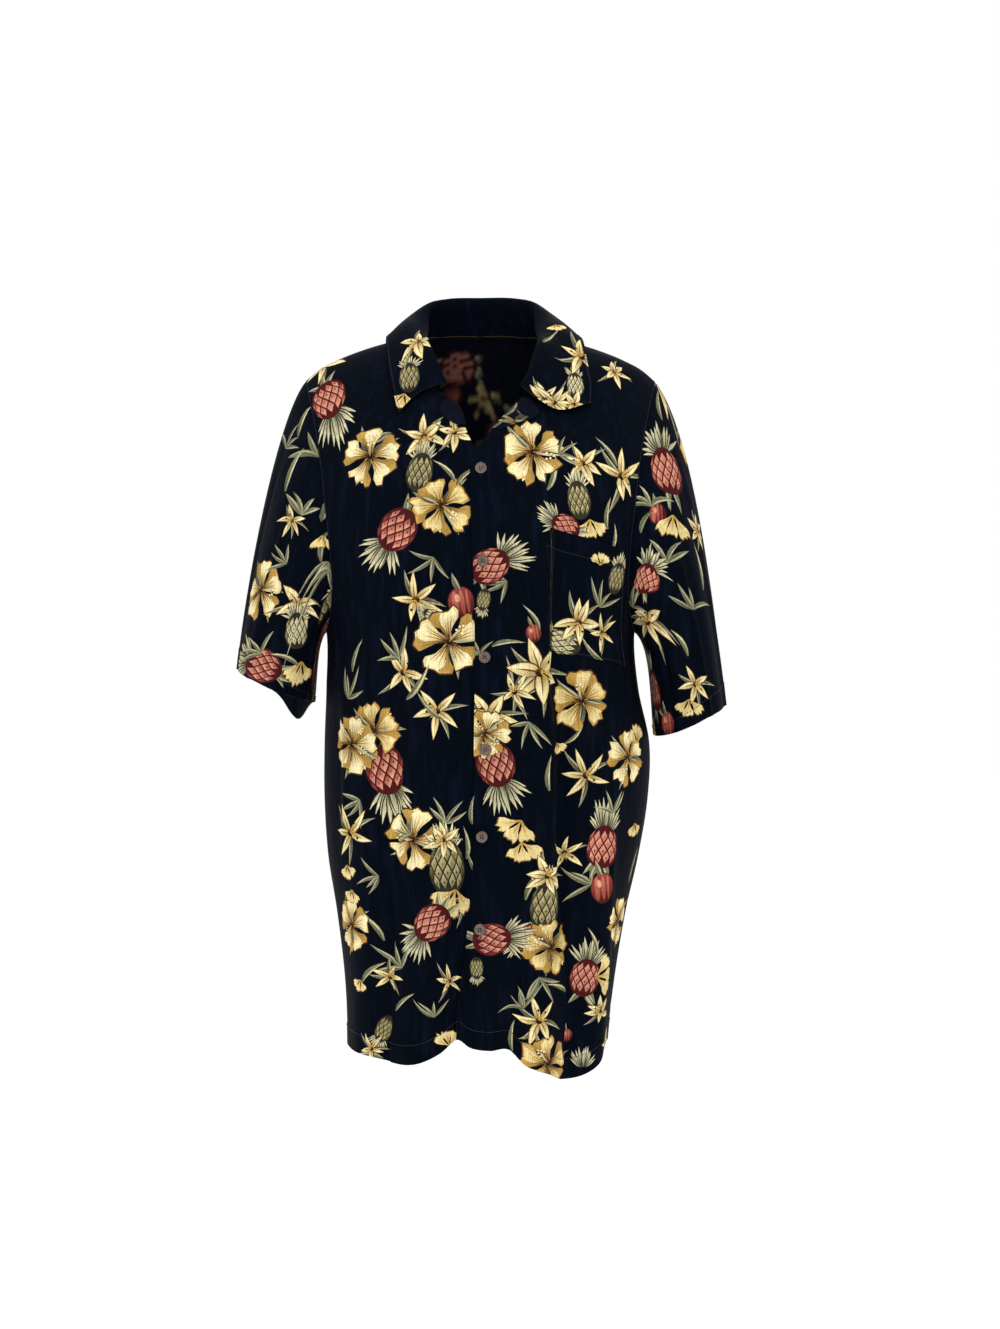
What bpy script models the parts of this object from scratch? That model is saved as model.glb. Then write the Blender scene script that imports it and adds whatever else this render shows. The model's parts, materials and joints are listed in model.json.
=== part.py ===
"""Short-sleeved aloha shirt, filled out as when worn: panels cut and sewn round an empty body space.

Frame: X to the shirt's left side as seen from the front, front towards -Y, +Z up, origin inside the
neck opening at the height of the collar seam. All lengths in metres.
"""
import bpy
import bmesh
import math
import numpy as np
from mathutils import Matrix, Vector

# ---- driving dimensions -------------------------------------------------------------------------
panelWall = 0.0015          # body and sleeve cloth with its turned hems
collarWall = 0.0018         # collar, two layers of cloth
flapWall = 0.0012           # turned-out front facings
pocketWall = 0.0012
seamGap = 0.00045           # space left between two pieces at a seam
squareness = 2.35           # 2 is an ellipse, more is boxier
chestLevel = -0.190         # above this height the body rounds in to the shoulder seam
underarmLevel = -0.300
hemLevel = -0.745
middleY = 0.006             # side seams and shoulder seams lie on this plane
overlapLift = 0.0016        # the left front lies this far out, the right front this far in

# height, value
halfWidth = [(-0.790, 0.1375), (-0.742, 0.1395), (-0.690, 0.1430), (-0.600, 0.1545), (-0.540, 0.1660),
             (-0.480, 0.1730), (-0.420, 0.1740), (-0.360, 0.1670), (-0.300, 0.1650), (-0.250, 0.1750),
             (-0.200, 0.1860), (-0.150, 0.1910), (-0.100, 0.1940), (0.050, 0.1950)]
sway = [(-0.790, -0.005), (-0.690, -0.001), (-0.600, 0.001), (-0.540, 0.003), (-0.480, 0.006),
        (-0.420, 0.0070), (-0.360, 0.002), (-0.300, 0.000), (0.050, 0.000)]
frontDepth = [(-0.790, 0.100), (-0.690, 0.106), (-0.600, 0.113), (-0.500, 0.119), (-0.400, 0.125),
              (-0.300, 0.129), (-0.200, 0.128), (-0.120, 0.120), (-0.050, 0.110), (0.040, 0.100)]
backDepth = [(-0.790, 0.094), (-0.600, 0.096), (-0.450, 0.098), (-0.300, 0.104), (-0.200, 0.112),
             (-0.120, 0.110), (-0.050, 0.102), (0.040, 0.090)]
# distance from the middle, height of the shoulder seam there
shoulderLine = [(0.000, 0.046), (0.040, 0.034), (0.0715, 0.0165), (0.099, 0.0105), (0.130, 0.0010),
                (0.1535, -0.0085), (0.176, -0.0210), (0.188, -0.0315), (0.205, -0.0450)]

# height, sideways place of each cut edge
leftFrontEdge = [(-0.790, -0.027), (-0.724, -0.025), (-0.698, -0.023), (-0.646, -0.017),
                 (-0.520, -0.006), (-0.420, -0.006), (-0.331, -0.005), (-0.226, -0.007),
                 (-0.150, -0.010), (-0.124, -0.009), (-0.110, -0.003), (-0.096, 0.007),
                 (-0.086, 0.017), (-0.076, 0.026), (-0.066, 0.036), (-0.056, 0.045),
                 (-0.046, 0.053), (-0.034, 0.061), (-0.010, 0.069), (0.0165, 0.0715)]
rightFrontEdge = [(-0.790, 0.004), (-0.700, 0.006), (-0.600, 0.016), (-0.420, 0.021),
                  (-0.220, 0.021), (-0.160, 0.018), (-0.130, 0.007), (-0.112, -0.004),
                  (-0.098, -0.011), (-0.084, -0.0165), (-0.072, -0.020), (-0.063, -0.025),
                  (-0.056, -0.034), (-0.048, -0.045), (-0.031, -0.060), (-0.008, -0.069),
                  (0.0165, -0.0715)]
frontArmhole = [(-0.300, 0.165), (-0.286, 0.1605), (-0.262, 0.1570), (-0.225, 0.1580),
                (-0.170, 0.1640), (-0.120, 0.1700), (-0.070, 0.1790), (-0.0315, 0.188)]
backArmhole = [(-0.300, 0.165), (-0.282, 0.164), (-0.255, 0.164), (-0.215, 0.168),
               (-0.165, 0.173), (-0.115, 0.178), (-0.065, 0.1835), (-0.0315, 0.188)]
# sideways place, height of the lower edge
frontHem = [(-0.150, -0.738), (-0.137, -0.743), (-0.115, -0.749), (-0.089, -0.755), (-0.060, -0.753),
            (-0.042, -0.743), (-0.026, -0.729), (-0.010, -0.737), (0.010, -0.740), (0.030, -0.739),
            (0.045, -0.755), (0.071, -0.766), (0.089, -0.772), (0.110, -0.768), (0.124, -0.754),
            (0.133, -0.738), (0.150, -0.735)]
backHem = [(-0.150, -0.738), (-0.100, -0.748), (-0.040, -0.741), (0.020, -0.750), (0.080, -0.742),
           (0.130, -0.740), (0.150, -0.735)]

backNeckLevel = 0.022
# distance from the middle, height of the back neck edge
backNeck = [(0.000, 0.022), (0.030, 0.0215), (0.055, 0.0190), (0.0715, 0.0165), (0.210, 0.0165)]

# round the sleeve from the shoulder through the front, half width, height of each soft fold
sleeveFolds = [(0.75, 0.22, 0.0030), (1.30, 0.20, -0.0030), (4.90, 0.24, 0.0030), (5.50, 0.22, -0.0030)]

# Folds: height and sideways place from top to bottom, half width, and how far out (+) or in (-).
frontFolds = [
    ([(-0.770, 0.060), (-0.600, 0.058), (-0.400, 0.054), (-0.200, 0.054)], 0.018, 0.008),
    ([(-0.770, 0.092), (-0.600, 0.088), (-0.400, 0.083), (-0.230, 0.082)], 0.014, -0.008),
    ([(-0.770, -0.094), (-0.600, -0.088), (-0.420, -0.086), (-0.300, -0.080)], 0.014, -0.007),
    ([(-0.770, -0.062), (-0.600, -0.060), (-0.440, -0.060), (-0.300, -0.056)], 0.018, 0.005),
    ([(-0.770, -0.122), (-0.600, -0.122), (-0.440, -0.124), (-0.340, -0.124)], 0.016, 0.004),
    ([(-0.770, -0.020), (-0.640, -0.018), (-0.540, -0.016), (-0.480, -0.014)], 0.014, -0.007),
    ([(-0.770, 0.122), (-0.600, 0.126), (-0.420, 0.130), (-0.330, 0.132)], 0.015, 0.004),
]
backFolds = [
    ([(-0.770, -0.080), (-0.500, -0.070), (-0.240, -0.060)], 0.017, 0.007),
    ([(-0.770, -0.040), (-0.500, -0.036), (-0.260, -0.032)], 0.013, -0.006),
    ([(-0.770, 0.010), (-0.500, 0.008), (-0.280, 0.006)], 0.017, 0.005),
    ([(-0.770, 0.056), (-0.500, 0.050), (-0.230, 0.044)], 0.015, -0.006),
    ([(-0.770, 0.096), (-0.500, 0.088), (-0.240, 0.078)], 0.017, 0.006),
]

# Sleeve lower edges: middle and half size across the arm, half size front to back, then heights.
sleeves = {
    "right": {"middle": -0.2200, "half": 0.0415, "deep": 0.077, "outer": -0.340, "front": -0.362,
              "inner": -0.375, "back": -0.366, "dip": 0.022, "puff": 0.15},
    "left": {"middle": 0.2245, "half": 0.0380, "deep": 0.077, "outer": -0.375, "front": -0.400,
             "inner": -0.410, "back": -0.386, "dip": 0.0, "puff": 0.18},
}

# Collar sections from its right front end round the neck to its left front end. Each row is seam,
# roll, middle of the fall and outer edge; the front rows give x, z and height off the front panel.
collarRight = [
    [(-0.0400, -0.0475, 0.0062), (-0.0345, -0.0440, 0.0075), (-0.0590, -0.0500, 0.0060),
     (-0.0850, -0.0725, 0.0050)],
    [(-0.0445, -0.0370, 0.0036), (-0.0400, -0.0300, 0.0110), (-0.0640, -0.0360, 0.0095),
     (-0.0900, -0.0520, 0.0055)],
    [(-0.0500, -0.0240, 0.0040), (-0.0480, -0.0090, 0.0150), (-0.0700, -0.0150, 0.0130),
     (-0.0950, -0.0280, 0.0055)],
]
collarLeft = [
    [(0.0510, -0.0240, 0.0040), (0.0570, -0.0090, 0.0150), (0.0840, -0.0130, 0.0130),
     (0.1130, -0.0240, 0.0055)],
    [(0.0500, -0.0370, 0.0036), (0.0500, -0.0300, 0.0110), (0.0830, -0.0370, 0.0095),
     (0.1170, -0.0430, 0.0060)],
    [(0.0490, -0.0475, 0.0062), (0.0430, -0.0450, 0.0075), (0.0800, -0.0710, 0.0070),
     (0.1160, -0.0620, 0.0070)],
]
collarBack = [
    [(-0.0585, -0.0130, 0.0180), (-0.0585, -0.0110, 0.0270), (-0.0790, -0.0130, 0.0295),
     (-0.1005, -0.0130, 0.0145)],
    [(-0.0600, 0.0240, 0.0240), (-0.0535, 0.0230, 0.0550), (-0.0720, 0.0330, 0.0450),
     (-0.0930, 0.0450, 0.0150)],
    [(-0.0370, 0.0450, 0.0280), (-0.0340, 0.0400, 0.0610), (-0.0480, 0.0640, 0.0470),
     (-0.0600, 0.0830, 0.0120)],
    [(0.0000, 0.0510, 0.0290), (0.0000, 0.0460, 0.0625), (0.0000, 0.0740, 0.0480),
     (0.0000, 0.0950, 0.0090)],
    [(0.0370, 0.0450, 0.0280), (0.0350, 0.0400, 0.0615), (0.0500, 0.0640, 0.0480),
     (0.0620, 0.0830, 0.0120)],
    [(0.0600, 0.0240, 0.0240), (0.0560, 0.0230, 0.0555), (0.0760, 0.0330, 0.0440),
     (0.0985, 0.0450, 0.0145)],
    [(0.0595, -0.0130, 0.0180), (0.0625, -0.0110, 0.0275), (0.0850, -0.0130, 0.0285),
     (0.1090, -0.0130, 0.0125)],
]

# Turned-out facings: how wide they lie on the front at places from the collar to the top button.
flapWidths = {"left": [0.010, 0.022, 0.024, 0.021, 0.015, 0.008], "right":
              [0.008, 0.017, 0.020, 0.018, 0.013, 0.007]}
flapSpan = {"left": (-0.0560, -0.0890), "right": (-0.0580, -0.0850)}
flapInside = 0.010

pocketCorners = [(0.0715, -0.193), (0.1480, -0.2150), (0.1490, -0.336), (0.0725, -0.322)]
pocketLift = 0.0032

buttonRadius = 0.0061
buttonThick = 0.0026
buttonSpots = [(0.001, -0.132), (0.003, -0.228), (0.005, -0.328), (0.006, -0.424), (0.003, -0.515),
               (0.001, -0.612)]
buttonLift = 0.0052


# ---- reading smooth curves ----------------------------------------------------------------------
def readCurve(rows, at):
    """Height or place read off a smooth curve through the rows."""
    places, values = np.array(rows, dtype=float).T
    slopes = np.gradient(values, places)
    at = np.clip(np.asarray(at, dtype=float), places[0], places[-1])
    index = np.clip(np.searchsorted(places, at, side="right") - 1, 0, len(places) - 2)
    span = places[index + 1] - places[index]
    t = (at - places[index]) / span
    start = (1 + 2 * t) * (1 - t) ** 2 * values[index] + t * (1 - t) ** 2 * span * slopes[index]
    end = t * t * (3 - 2 * t) * values[index + 1] + t * t * (t - 1) * span * slopes[index + 1]
    return start + end


def softStep(value, low, high):
    t = np.clip((value - low) / (high - low), 0.0, 1.0)
    return t * t * (3 - 2 * t)


def foldHeight(folds, x, z):
    """How far the folds push the cloth out at a place."""
    total = np.zeros_like(x + z)
    for path, width, depth in folds:
        middle = readCurve(path, z)
        top = path[-1][0]
        fade = softStep(z, top + 0.05, top - 0.06)
        grow = 0.55 + 0.45 * softStep(z, top, -0.74)
        total = total + depth * fade * grow * np.exp(-((x - middle) / width) ** 2)
    return total


# ---- the body surface ---------------------------------------------------------------------------
def bodyPoint(turn, z):
    """Cloth middle at a turn round the body (0 front, half pi left side, pi back) and height."""
    turn, z = np.broadcast_arrays(np.asarray(turn, float), np.asarray(z, float))
    front = np.cos(turn) >= 0
    across = readCurve(halfWidth, z)
    deep = np.where(front, readCurve(frontDepth, z) + middleY, readCurve(backDepth, z) - middleY)
    sine, cosine = np.sin(turn), np.cos(turn)
    power = (np.abs(sine) / across) ** squareness + (np.abs(cosine) / deep) ** squareness
    reach = power ** (-1 / squareness)
    x = reach * sine
    ridge = readCurve(shoulderLine, np.abs(x))
    rise = np.clip((z - chestLevel) / (ridge - chestLevel), 0.0, 1.0)
    bend = np.where(front, 2.0, 2.5)
    closing = (1 - rise ** bend) ** (1 / bend)
    push = np.where(front, foldHeight(frontFolds, x, z), foldHeight(backFolds, x, z))
    sideFade = softStep(np.abs(cosine), 0.10, 0.45)
    push = push * sideFade
    shift = readCurve(sway, z)
    y = middleY - (reach + push) * cosine * closing
    drop = np.where(front, readCurve(frontHem, x + shift), readCurve(backHem, x + shift)) - hemLevel
    lower = softStep(z, -0.600, -0.745)
    return np.stack([x + shift + push * sine, y, z + drop * lower], axis=-1)


def turnAt(x, z, back=False):
    """Turn round the body at which the cloth passes a sideways place."""
    x = np.asarray(x, float) - readCurve(sway, z)
    across = readCurve(halfWidth, z)
    deep = readCurve(backDepth, z) - middleY if back else readCurve(frontDepth, z) + middleY
    part = np.clip(np.abs(x) / across, 0.0, 1.0)
    y = deep * (1 - part ** squareness) ** (1 / squareness)
    turn = np.arctan2(x, y)
    return math.pi - turn if back else turn


def evenPlaces(points, count):
    """Fractions along a run of points that cut it into equal lengths."""
    steps = np.linalg.norm(np.diff(points, axis=0), axis=1)
    walked = np.concatenate([[0.0], np.cumsum(steps)])
    wanted = np.linspace(0, walked[-1], count)
    return np.interp(wanted, walked, np.linspace(0, 1, len(points)))


def edgeHeights(edge, low, high, count, sign=1.0, back=False):
    """Heights along a cut edge spaced evenly over the cloth."""
    fine = np.linspace(low, high, 81)
    line = bodyPoint(turnAt(sign * readCurve(edge, fine), fine, back), fine)
    return low + (high - low) * evenPlaces(line, count)


def panelGrid(inner, outer, lowRows, highRows, columns, side, back=False):
    """Rows of cloth points from the inner cut edge to the side seam and armhole."""
    topInner = inner[-1][0]
    topOuter = outer[-1][0]
    lowHeights = np.linspace(hemLevel, underarmLevel, lowRows)
    innerHigh = edgeHeights(inner, underarmLevel, topInner, highRows + 1, 1.0, back)[1:]
    outerHigh = edgeHeights(outer, underarmLevel, topOuter, highRows + 1, side, back)[1:]
    innerZ = np.concatenate([lowHeights, innerHigh])
    outerZ = np.concatenate([lowHeights, outerHigh])
    fine = np.linspace(0, 1, 121)
    rows = []
    for index, (zIn, zOut) in enumerate(zip(innerZ, outerZ)):
        startTurn = float(turnAt(readCurve(inner, zIn), zIn, back))
        if index < lowRows:
            endTurn = side * math.pi / 2
            if back:
                endTurn = math.pi - side * math.pi / 2
        else:
            endTurn = float(turnAt(side * readCurve(outer, zOut), zOut, back))
        lift = max(0.0, (index - lowRows + 1) / highRows)

        def place(fraction):
            turn = startTurn + (endTurn - startTurn) * fraction
            z = zIn + (zOut - zIn) * fraction
            flat = bodyPoint(turn, z)
            ridge = readCurve(shoulderLine, np.abs(flat[..., 0]))
            z = z + (ridge - z) * lift ** 4 * np.ones_like(fraction)
            return bodyPoint(turn, z)
        even = evenPlaces(place(fine), columns)
        rows.append(place(even))
    return shoulderRow(np.array(rows))


def shoulderRow(grid):
    """Bring the top row exactly on to the shoulder line outside the neck."""
    across = np.abs(grid[-1, :, 0])
    shoulder = across >= 0.0710
    grid[-1, shoulder, 1] = middleY
    grid[-1, shoulder, 2] = readCurve(shoulderLine, across[shoulder])
    return grid


# ---- cloth solids -------------------------------------------------------------------------------
def gridNormals(grid, outward):
    """Unit directions off the cloth at every grid point."""
    alongRow = np.gradient(grid, axis=1)
    alongColumn = np.gradient(grid, axis=0)
    normals = np.cross(alongRow, alongColumn)
    normals /= np.maximum(np.linalg.norm(normals, axis=2, keepdims=True), 1e-9)
    middle = normals[grid.shape[0] // 2, grid.shape[1] // 2]
    if np.dot(middle, outward) < 0:
        normals = -normals
    return normals


def drawIn(grid, amount, first=False, last=False, bottom=False, top=False):
    """Move cut edges back along the cloth so neighbouring pieces do not touch."""
    grid = grid.copy()
    moves = [(first, (slice(None), 0), (slice(None), 1)), (last, (slice(None), -1), (slice(None), -2)),
             (bottom, (0, slice(None)), (1, slice(None))), (top, (-1, slice(None)), (-2, slice(None)))]
    for wanted, edge, inside in moves:
        if wanted:
            step = grid[inside] - grid[edge]
            step /= np.linalg.norm(step, axis=-1, keepdims=True)
            grid[edge] += step * amount
    return grid


def clothSolid(name, grid, normals, wall, material, closed=False):
    """One closed body: an outer and an inner skin joined round the cut edges."""
    rows, columns = grid.shape[:2]
    mesh = bmesh.new()
    skins = []
    for offset in (wall / 2, -wall / 2):
        skins.append([[mesh.verts.new(grid[r, c] + normals[r, c] * offset) for c in range(columns)]
                      for r in range(rows)])
    outer, inner = skins
    steps = columns if closed else columns - 1
    for r in range(rows - 1):
        for c in range(steps):
            d = (c + 1) % columns
            mesh.faces.new((outer[r][c], outer[r][d], outer[r + 1][d], outer[r + 1][c]))
            mesh.faces.new((inner[r][c], inner[r + 1][c], inner[r + 1][d], inner[r][d]))
    for c in range(steps):
        d = (c + 1) % columns
        mesh.faces.new((outer[0][d], outer[0][c], inner[0][c], inner[0][d]))
        mesh.faces.new((outer[-1][c], outer[-1][d], inner[-1][d], inner[-1][c]))
    if not closed:
        for r in range(rows - 1):
            mesh.faces.new((outer[r][0], outer[r + 1][0], inner[r + 1][0], inner[r][0]))
            mesh.faces.new((outer[r + 1][-1], outer[r][-1], inner[r][-1], inner[r + 1][-1]))
    bmesh.ops.triangulate(mesh, faces=mesh.faces[:])
    bmesh.ops.recalc_face_normals(mesh, faces=mesh.faces[:])
    data = bpy.data.meshes.new(name)
    mesh.to_mesh(data)
    mesh.free()
    part = bpy.data.objects.new(name, data)
    bpy.context.scene.collection.objects.link(part)
    data.materials.append(material)
    return part


def plainMaterial(name, colour, roughness):
    material = bpy.data.materials.new(name)
    material.use_nodes = True
    shader = material.node_tree.nodes["Principled BSDF"]
    shader.inputs["Base Color"].default_value = (*colour, 1.0)
    shader.inputs["Roughness"].default_value = roughness
    material.diffuse_color = (*colour, 1.0)
    return material


def setSeamNormals(normals, grid, side):
    """Shared directions at the side seam and the shoulder seam, so both walls stay parallel."""
    for row in range(grid.shape[0]):
        if grid[row, -1, 2] > underarmLevel + 0.004:
            continue
        along = np.gradient(grid[:, -1], axis=0)[row]
        along /= np.linalg.norm(along)
        straight = np.array([side, 0.0, 0.0])
        straight = straight - along * np.dot(straight, along)
        normals[row, -1] = straight / np.linalg.norm(straight)
    along = np.gradient(grid[-1], axis=0)
    along /= np.linalg.norm(along, axis=1, keepdims=True)
    up = np.array([0.0, 0.0, 1.0]) - along * along[:, 2:3]
    normals[-1] = up / np.linalg.norm(up, axis=1, keepdims=True)
    return normals


# ---- fronts and back ----------------------------------------------------------------------------
def frontSheet(edge, side, lift):
    """Middle points of one front and the directions off it."""
    grid = panelGrid(edge, frontArmhole, 10, 15, 16, side)
    normals = gridNormals(grid, (0, -1, 0))
    normals = setSeamNormals(normals, grid, side)
    grid = grid + normals * (lift * overlapShare(grid[..., 0], grid[..., 2], side))[..., None]
    return drawIn(grid, seamGap / 2, last=True, top=True), normals


def overlapShare(x, z, side):
    """Where one front rides over the other: full near the front edge, nothing by the chest."""
    return softStep(side * x, 0.055, 0.024) * softStep(z, -0.070, -0.105)


def backGrid(lowRows, highRows, columns):
    """Rows right across the back, the top one along both shoulder seams and the neck edge."""
    lowHeights = np.linspace(hemLevel, underarmLevel, lowRows)
    highHeights = edgeHeights(backArmhole, underarmLevel, backArmhole[-1][0], highRows + 1, 1.0, True)
    outerZ = np.concatenate([lowHeights, highHeights[1:]])
    fine = np.linspace(0, 1, 161)
    rows = []
    for index, zOut in enumerate(outerZ):
        lift = max(0.0, (index - lowRows + 1) / highRows)
        if index < lowRows:
            reach = math.pi / 2
            zMiddle = zOut
        else:
            reach = math.pi - float(turnAt(readCurve(backArmhole, zOut), zOut, True))
            zMiddle = underarmLevel + (backNeckLevel - underarmLevel) * lift

        def place(fraction):
            turn = math.pi + reach * (1 - 2 * fraction)
            outward = np.abs(2 * fraction - 1)
            z = zMiddle + (zOut - zMiddle) * outward ** 1.6
            across = np.abs(bodyPoint(turn, z)[..., 0])
            topEdge = np.minimum(readCurve(shoulderLine, across), readCurve(backNeck, across))
            z = z + (topEdge - z) * lift ** 4
            return bodyPoint(turn, z)
        rows.append(place(evenPlaces(place(fine), columns)))
    return shoulderRow(np.array(rows))


def backSheet():
    """Middle points of the back and the directions off it."""
    grid = backGrid(10, 11, 23)
    normals = gridNormals(grid, (0, 1, 0))
    for side, column in ((-1, 0), (1, -1)):
        along = np.gradient(grid[:, column], axis=0)
        along /= np.linalg.norm(along, axis=1, keepdims=True)
        for row in range(10):
            straight = np.array([side, 0.0, 0.0]) - along[row] * side * along[row, 0]
            normals[row, column] = straight / np.linalg.norm(straight)
    along = np.gradient(grid[-1], axis=0)
    along /= np.linalg.norm(along, axis=1, keepdims=True)
    up = np.array([0.0, 0.0, 1.0]) - along * along[:, 2:3]
    up /= np.linalg.norm(up, axis=1, keepdims=True)
    shoulder = softStep(np.abs(grid[-1, :, 0]), 0.045, 0.072)[:, None]
    blended = normals[-1] * (1 - shoulder) + up * shoulder
    normals[-1] = blended / np.linalg.norm(blended, axis=1, keepdims=True)
    return drawIn(grid, seamGap / 2, first=True, last=True, top=True), normals


# ---- sleeves ------------------------------------------------------------------------------------
def armholeLoop(frontGrid, rearGrid, side):
    """Cut edge round the armhole from the shoulder down the front and up the back."""
    front = frontGrid[9:, -1][::-1]
    rear = rearGrid[9:, -1 if side > 0 else 0]
    loop = np.concatenate([front[:-1], rear[:-1]])
    loop[0] = (front[0] + rear[-1]) / 2
    loop[len(front) - 1] = (front[-1] + rear[0]) / 2
    down = np.linspace(0, math.pi, len(front))[:-1]
    up = np.linspace(math.pi, 2 * math.pi, len(rear))[:-1]
    return loop, np.concatenate([down, up])


def buildSleeve(name, side, size, sheets, material):
    rings = 11
    loop, around = armholeLoop(sheets[0][0], sheets[1][0], side)
    count = len(loop)
    top, front = np.cos(around), np.sin(around)
    flare = np.where(top > 0, 0.46 + 0.16 * top, 0.46 - 0.36 * top)
    leave = np.stack([side * flare, -0.25 * front, -np.sqrt(1 - flare ** 2) * np.ones(count)], axis=1)
    leave /= np.linalg.norm(leave, axis=1, keepdims=True)
    radial = np.stack([side * (1.0 - 0.35 * np.abs(front)), -0.8 * front, np.zeros(count)], axis=1)
    radial /= np.linalg.norm(radial, axis=1, keepdims=True)
    away = leave + radial
    away /= np.linalg.norm(away, axis=1, keepdims=True)
    start = loop + away * 0.0018
    mean = (size["outer"] + size["front"] + size["inner"] + size["back"]) / 4
    heights = (mean + (size["outer"] - size["inner"]) / 2 * top
               + (size["front"] - size["back"]) / 2 * front
               + (size["outer"] + size["inner"] - size["front"] - size["back"]) / 4 * np.cos(2 * around))
    heights = heights - size["dip"] * np.exp(-((around - 4.25) / 0.36) ** 2)
    hem = np.stack([size["middle"] + side * size["half"] * top, middleY - size["deep"] * front,
                    heights], axis=1)
    span = np.linalg.norm(hem - start, axis=1, keepdims=True)
    first = start + leave * span * (size["puff"] + 0.03 * (1 - top[:, None]) / 2)
    arrive = np.array([side * 0.11, 0.0, -1.0])
    second = hem - arrive * span * 0.33
    grid = []
    for step in np.linspace(0, 1, rings):
        ring = ((1 - step) ** 3 * start + 3 * (1 - step) ** 2 * step * first
                + 3 * (1 - step) * step ** 2 * second + step ** 3 * hem)
        fold = np.zeros(count)
        for place, width, depth in sleeveFolds:
            gap = np.angle(np.exp(1j * (around - place)))
            fold += depth * np.exp(-(gap / width) ** 2)
        middle = ring.mean(axis=0)
        outward = ring - middle
        outward[:, 2] = 0
        outward /= np.linalg.norm(outward, axis=1, keepdims=True)
        ring = ring + outward * (fold * softStep(step, 0.12, 0.6))[:, None]
        grid.append(ring)
    grid = np.array(grid)
    wrapped = np.concatenate([grid[:, -1:], grid, grid[:, :1]], axis=1)
    normals = gridNormals(wrapped, (0, 0, 0))[:, 1:-1]
    if np.dot(normals[5, 0], (side, 0, 0)) < 0:
        normals = -normals
    return clothSolid(name, grid, normals, panelWall, material, closed=True)


# ---- collar, facings, pocket, buttons -----------------------------------------------------------
def bodyNormal(turn, z):
    step = 0.002
    across = bodyPoint(turn + 0.01, z) - bodyPoint(turn - 0.01, z)
    upward = bodyPoint(turn, z + step) - bodyPoint(turn, z - step)
    normal = np.cross(across, upward)
    return normal / np.linalg.norm(normal)


def onFront(x, z, lift):
    """A point held off the front panels."""
    turn = float(turnAt(x, z))
    return bodyPoint(turn, z) + bodyNormal(turn, z) * lift


def throughPoints(points, count):
    """Even steps along a smooth line through a few points."""
    points = np.array(points, dtype=float)
    lengths = np.concatenate([[0], np.cumsum(np.linalg.norm(np.diff(points, axis=0), axis=1))])
    wanted = np.linspace(0, lengths[-1], count)
    rows = [readCurve(list(zip(lengths, points[:, axis])), wanted) for axis in range(3)]
    return np.stack(rows, axis=1)


def buildCollar(name, material):
    sections = [[onFront(*point) for point in row] for row in collarRight]
    sections += [[np.array(point) for point in row] for row in collarBack]
    sections += [[onFront(*point) for point in row] for row in collarLeft]
    lines = np.array([throughPoints(row, 8) for row in sections])
    grid = np.stack([throughPoints(lines[:, place], 31) for place in range(8)], axis=0)
    normals = gridNormals(grid, (0, 1, 0.3))
    if normals[6, 15, 1] < 0:
        normals = -normals
    return clothSolid(name, grid, normals, collarWall, material)


def buildFlap(name, sheet, side, material):
    """Facing turned out over the front edge: inside strip, roll round the edge, outside strip."""
    grid, normals = sheet
    high, low = flapSpan[name.split("_")[1]]
    widths = flapWidths[name.split("_")[1]]
    edgeLine, rowNumbers = grid[:, 0], np.arange(grid.shape[0])
    upper = rowNumbers[edgeLine[:, 2] > -0.140]
    rows = []
    count = 11
    for step in range(count):
        share = step / (count - 1)
        z = high + (low - high) * share
        at = np.interp(z, edgeLine[upper, 2], rowNumbers[upper])
        r = int(min(at, grid.shape[0] - 2))
        blend = at - r
        line = grid[r] * (1 - blend) + grid[r + 1] * blend
        off = normals[r] * (1 - blend) + normals[r + 1] * blend
        walked = np.concatenate([[0], np.cumsum(np.linalg.norm(np.diff(line, axis=0), axis=1))])
        inward = (line[1] - line[0]) / walked[1]
        normal = off[0] / np.linalg.norm(off[0])
        width = float(readCurve([(i / 5, w) for i, w in enumerate(widths)], share))

        def away(distance, lift):
            point = [np.interp(distance, walked, line[:, axis]) for axis in range(3)]
            turned = [np.interp(distance, walked, off[:, axis]) for axis in range(3)]
            return np.array(point) + np.array(turned) * lift
        reach = 0.0022
        row = [away(flapInside, -reach)]
        for angle in (-90, -50, 0, 50, 90):
            a = math.radians(angle)
            row.append(line[0] + (normal * math.sin(a) - inward * math.cos(a)) * reach)
        row.append(away(width * 0.5, reach + 0.0010))
        row.append(away(width, reach + 0.0003))
        rows.append(row)
    flap = np.array(rows)
    turned = gridNormals(flap, (0, 0, 0))
    if turned[4, -1, 1] > 0:
        turned = -turned
    return clothSolid(name, flap, turned, flapWall, material)


def buildPocket(name, material):
    count = 9
    rows = []
    for down in np.linspace(0, 1, count):
        row = []
        for across in np.linspace(0, 1, count):
            upper = np.array(pocketCorners[0]) * (1 - across) + np.array(pocketCorners[1]) * across
            lower = np.array(pocketCorners[3]) * (1 - across) + np.array(pocketCorners[2]) * across
            x, z = upper * (1 - down) + lower * down
            row.append(onFront(x, z, pocketLift))
        rows.append(row)
    grid = np.array(rows)
    return clothSolid(name, grid, gridNormals(grid, (0, -1, 0)), pocketWall, material)


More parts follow.
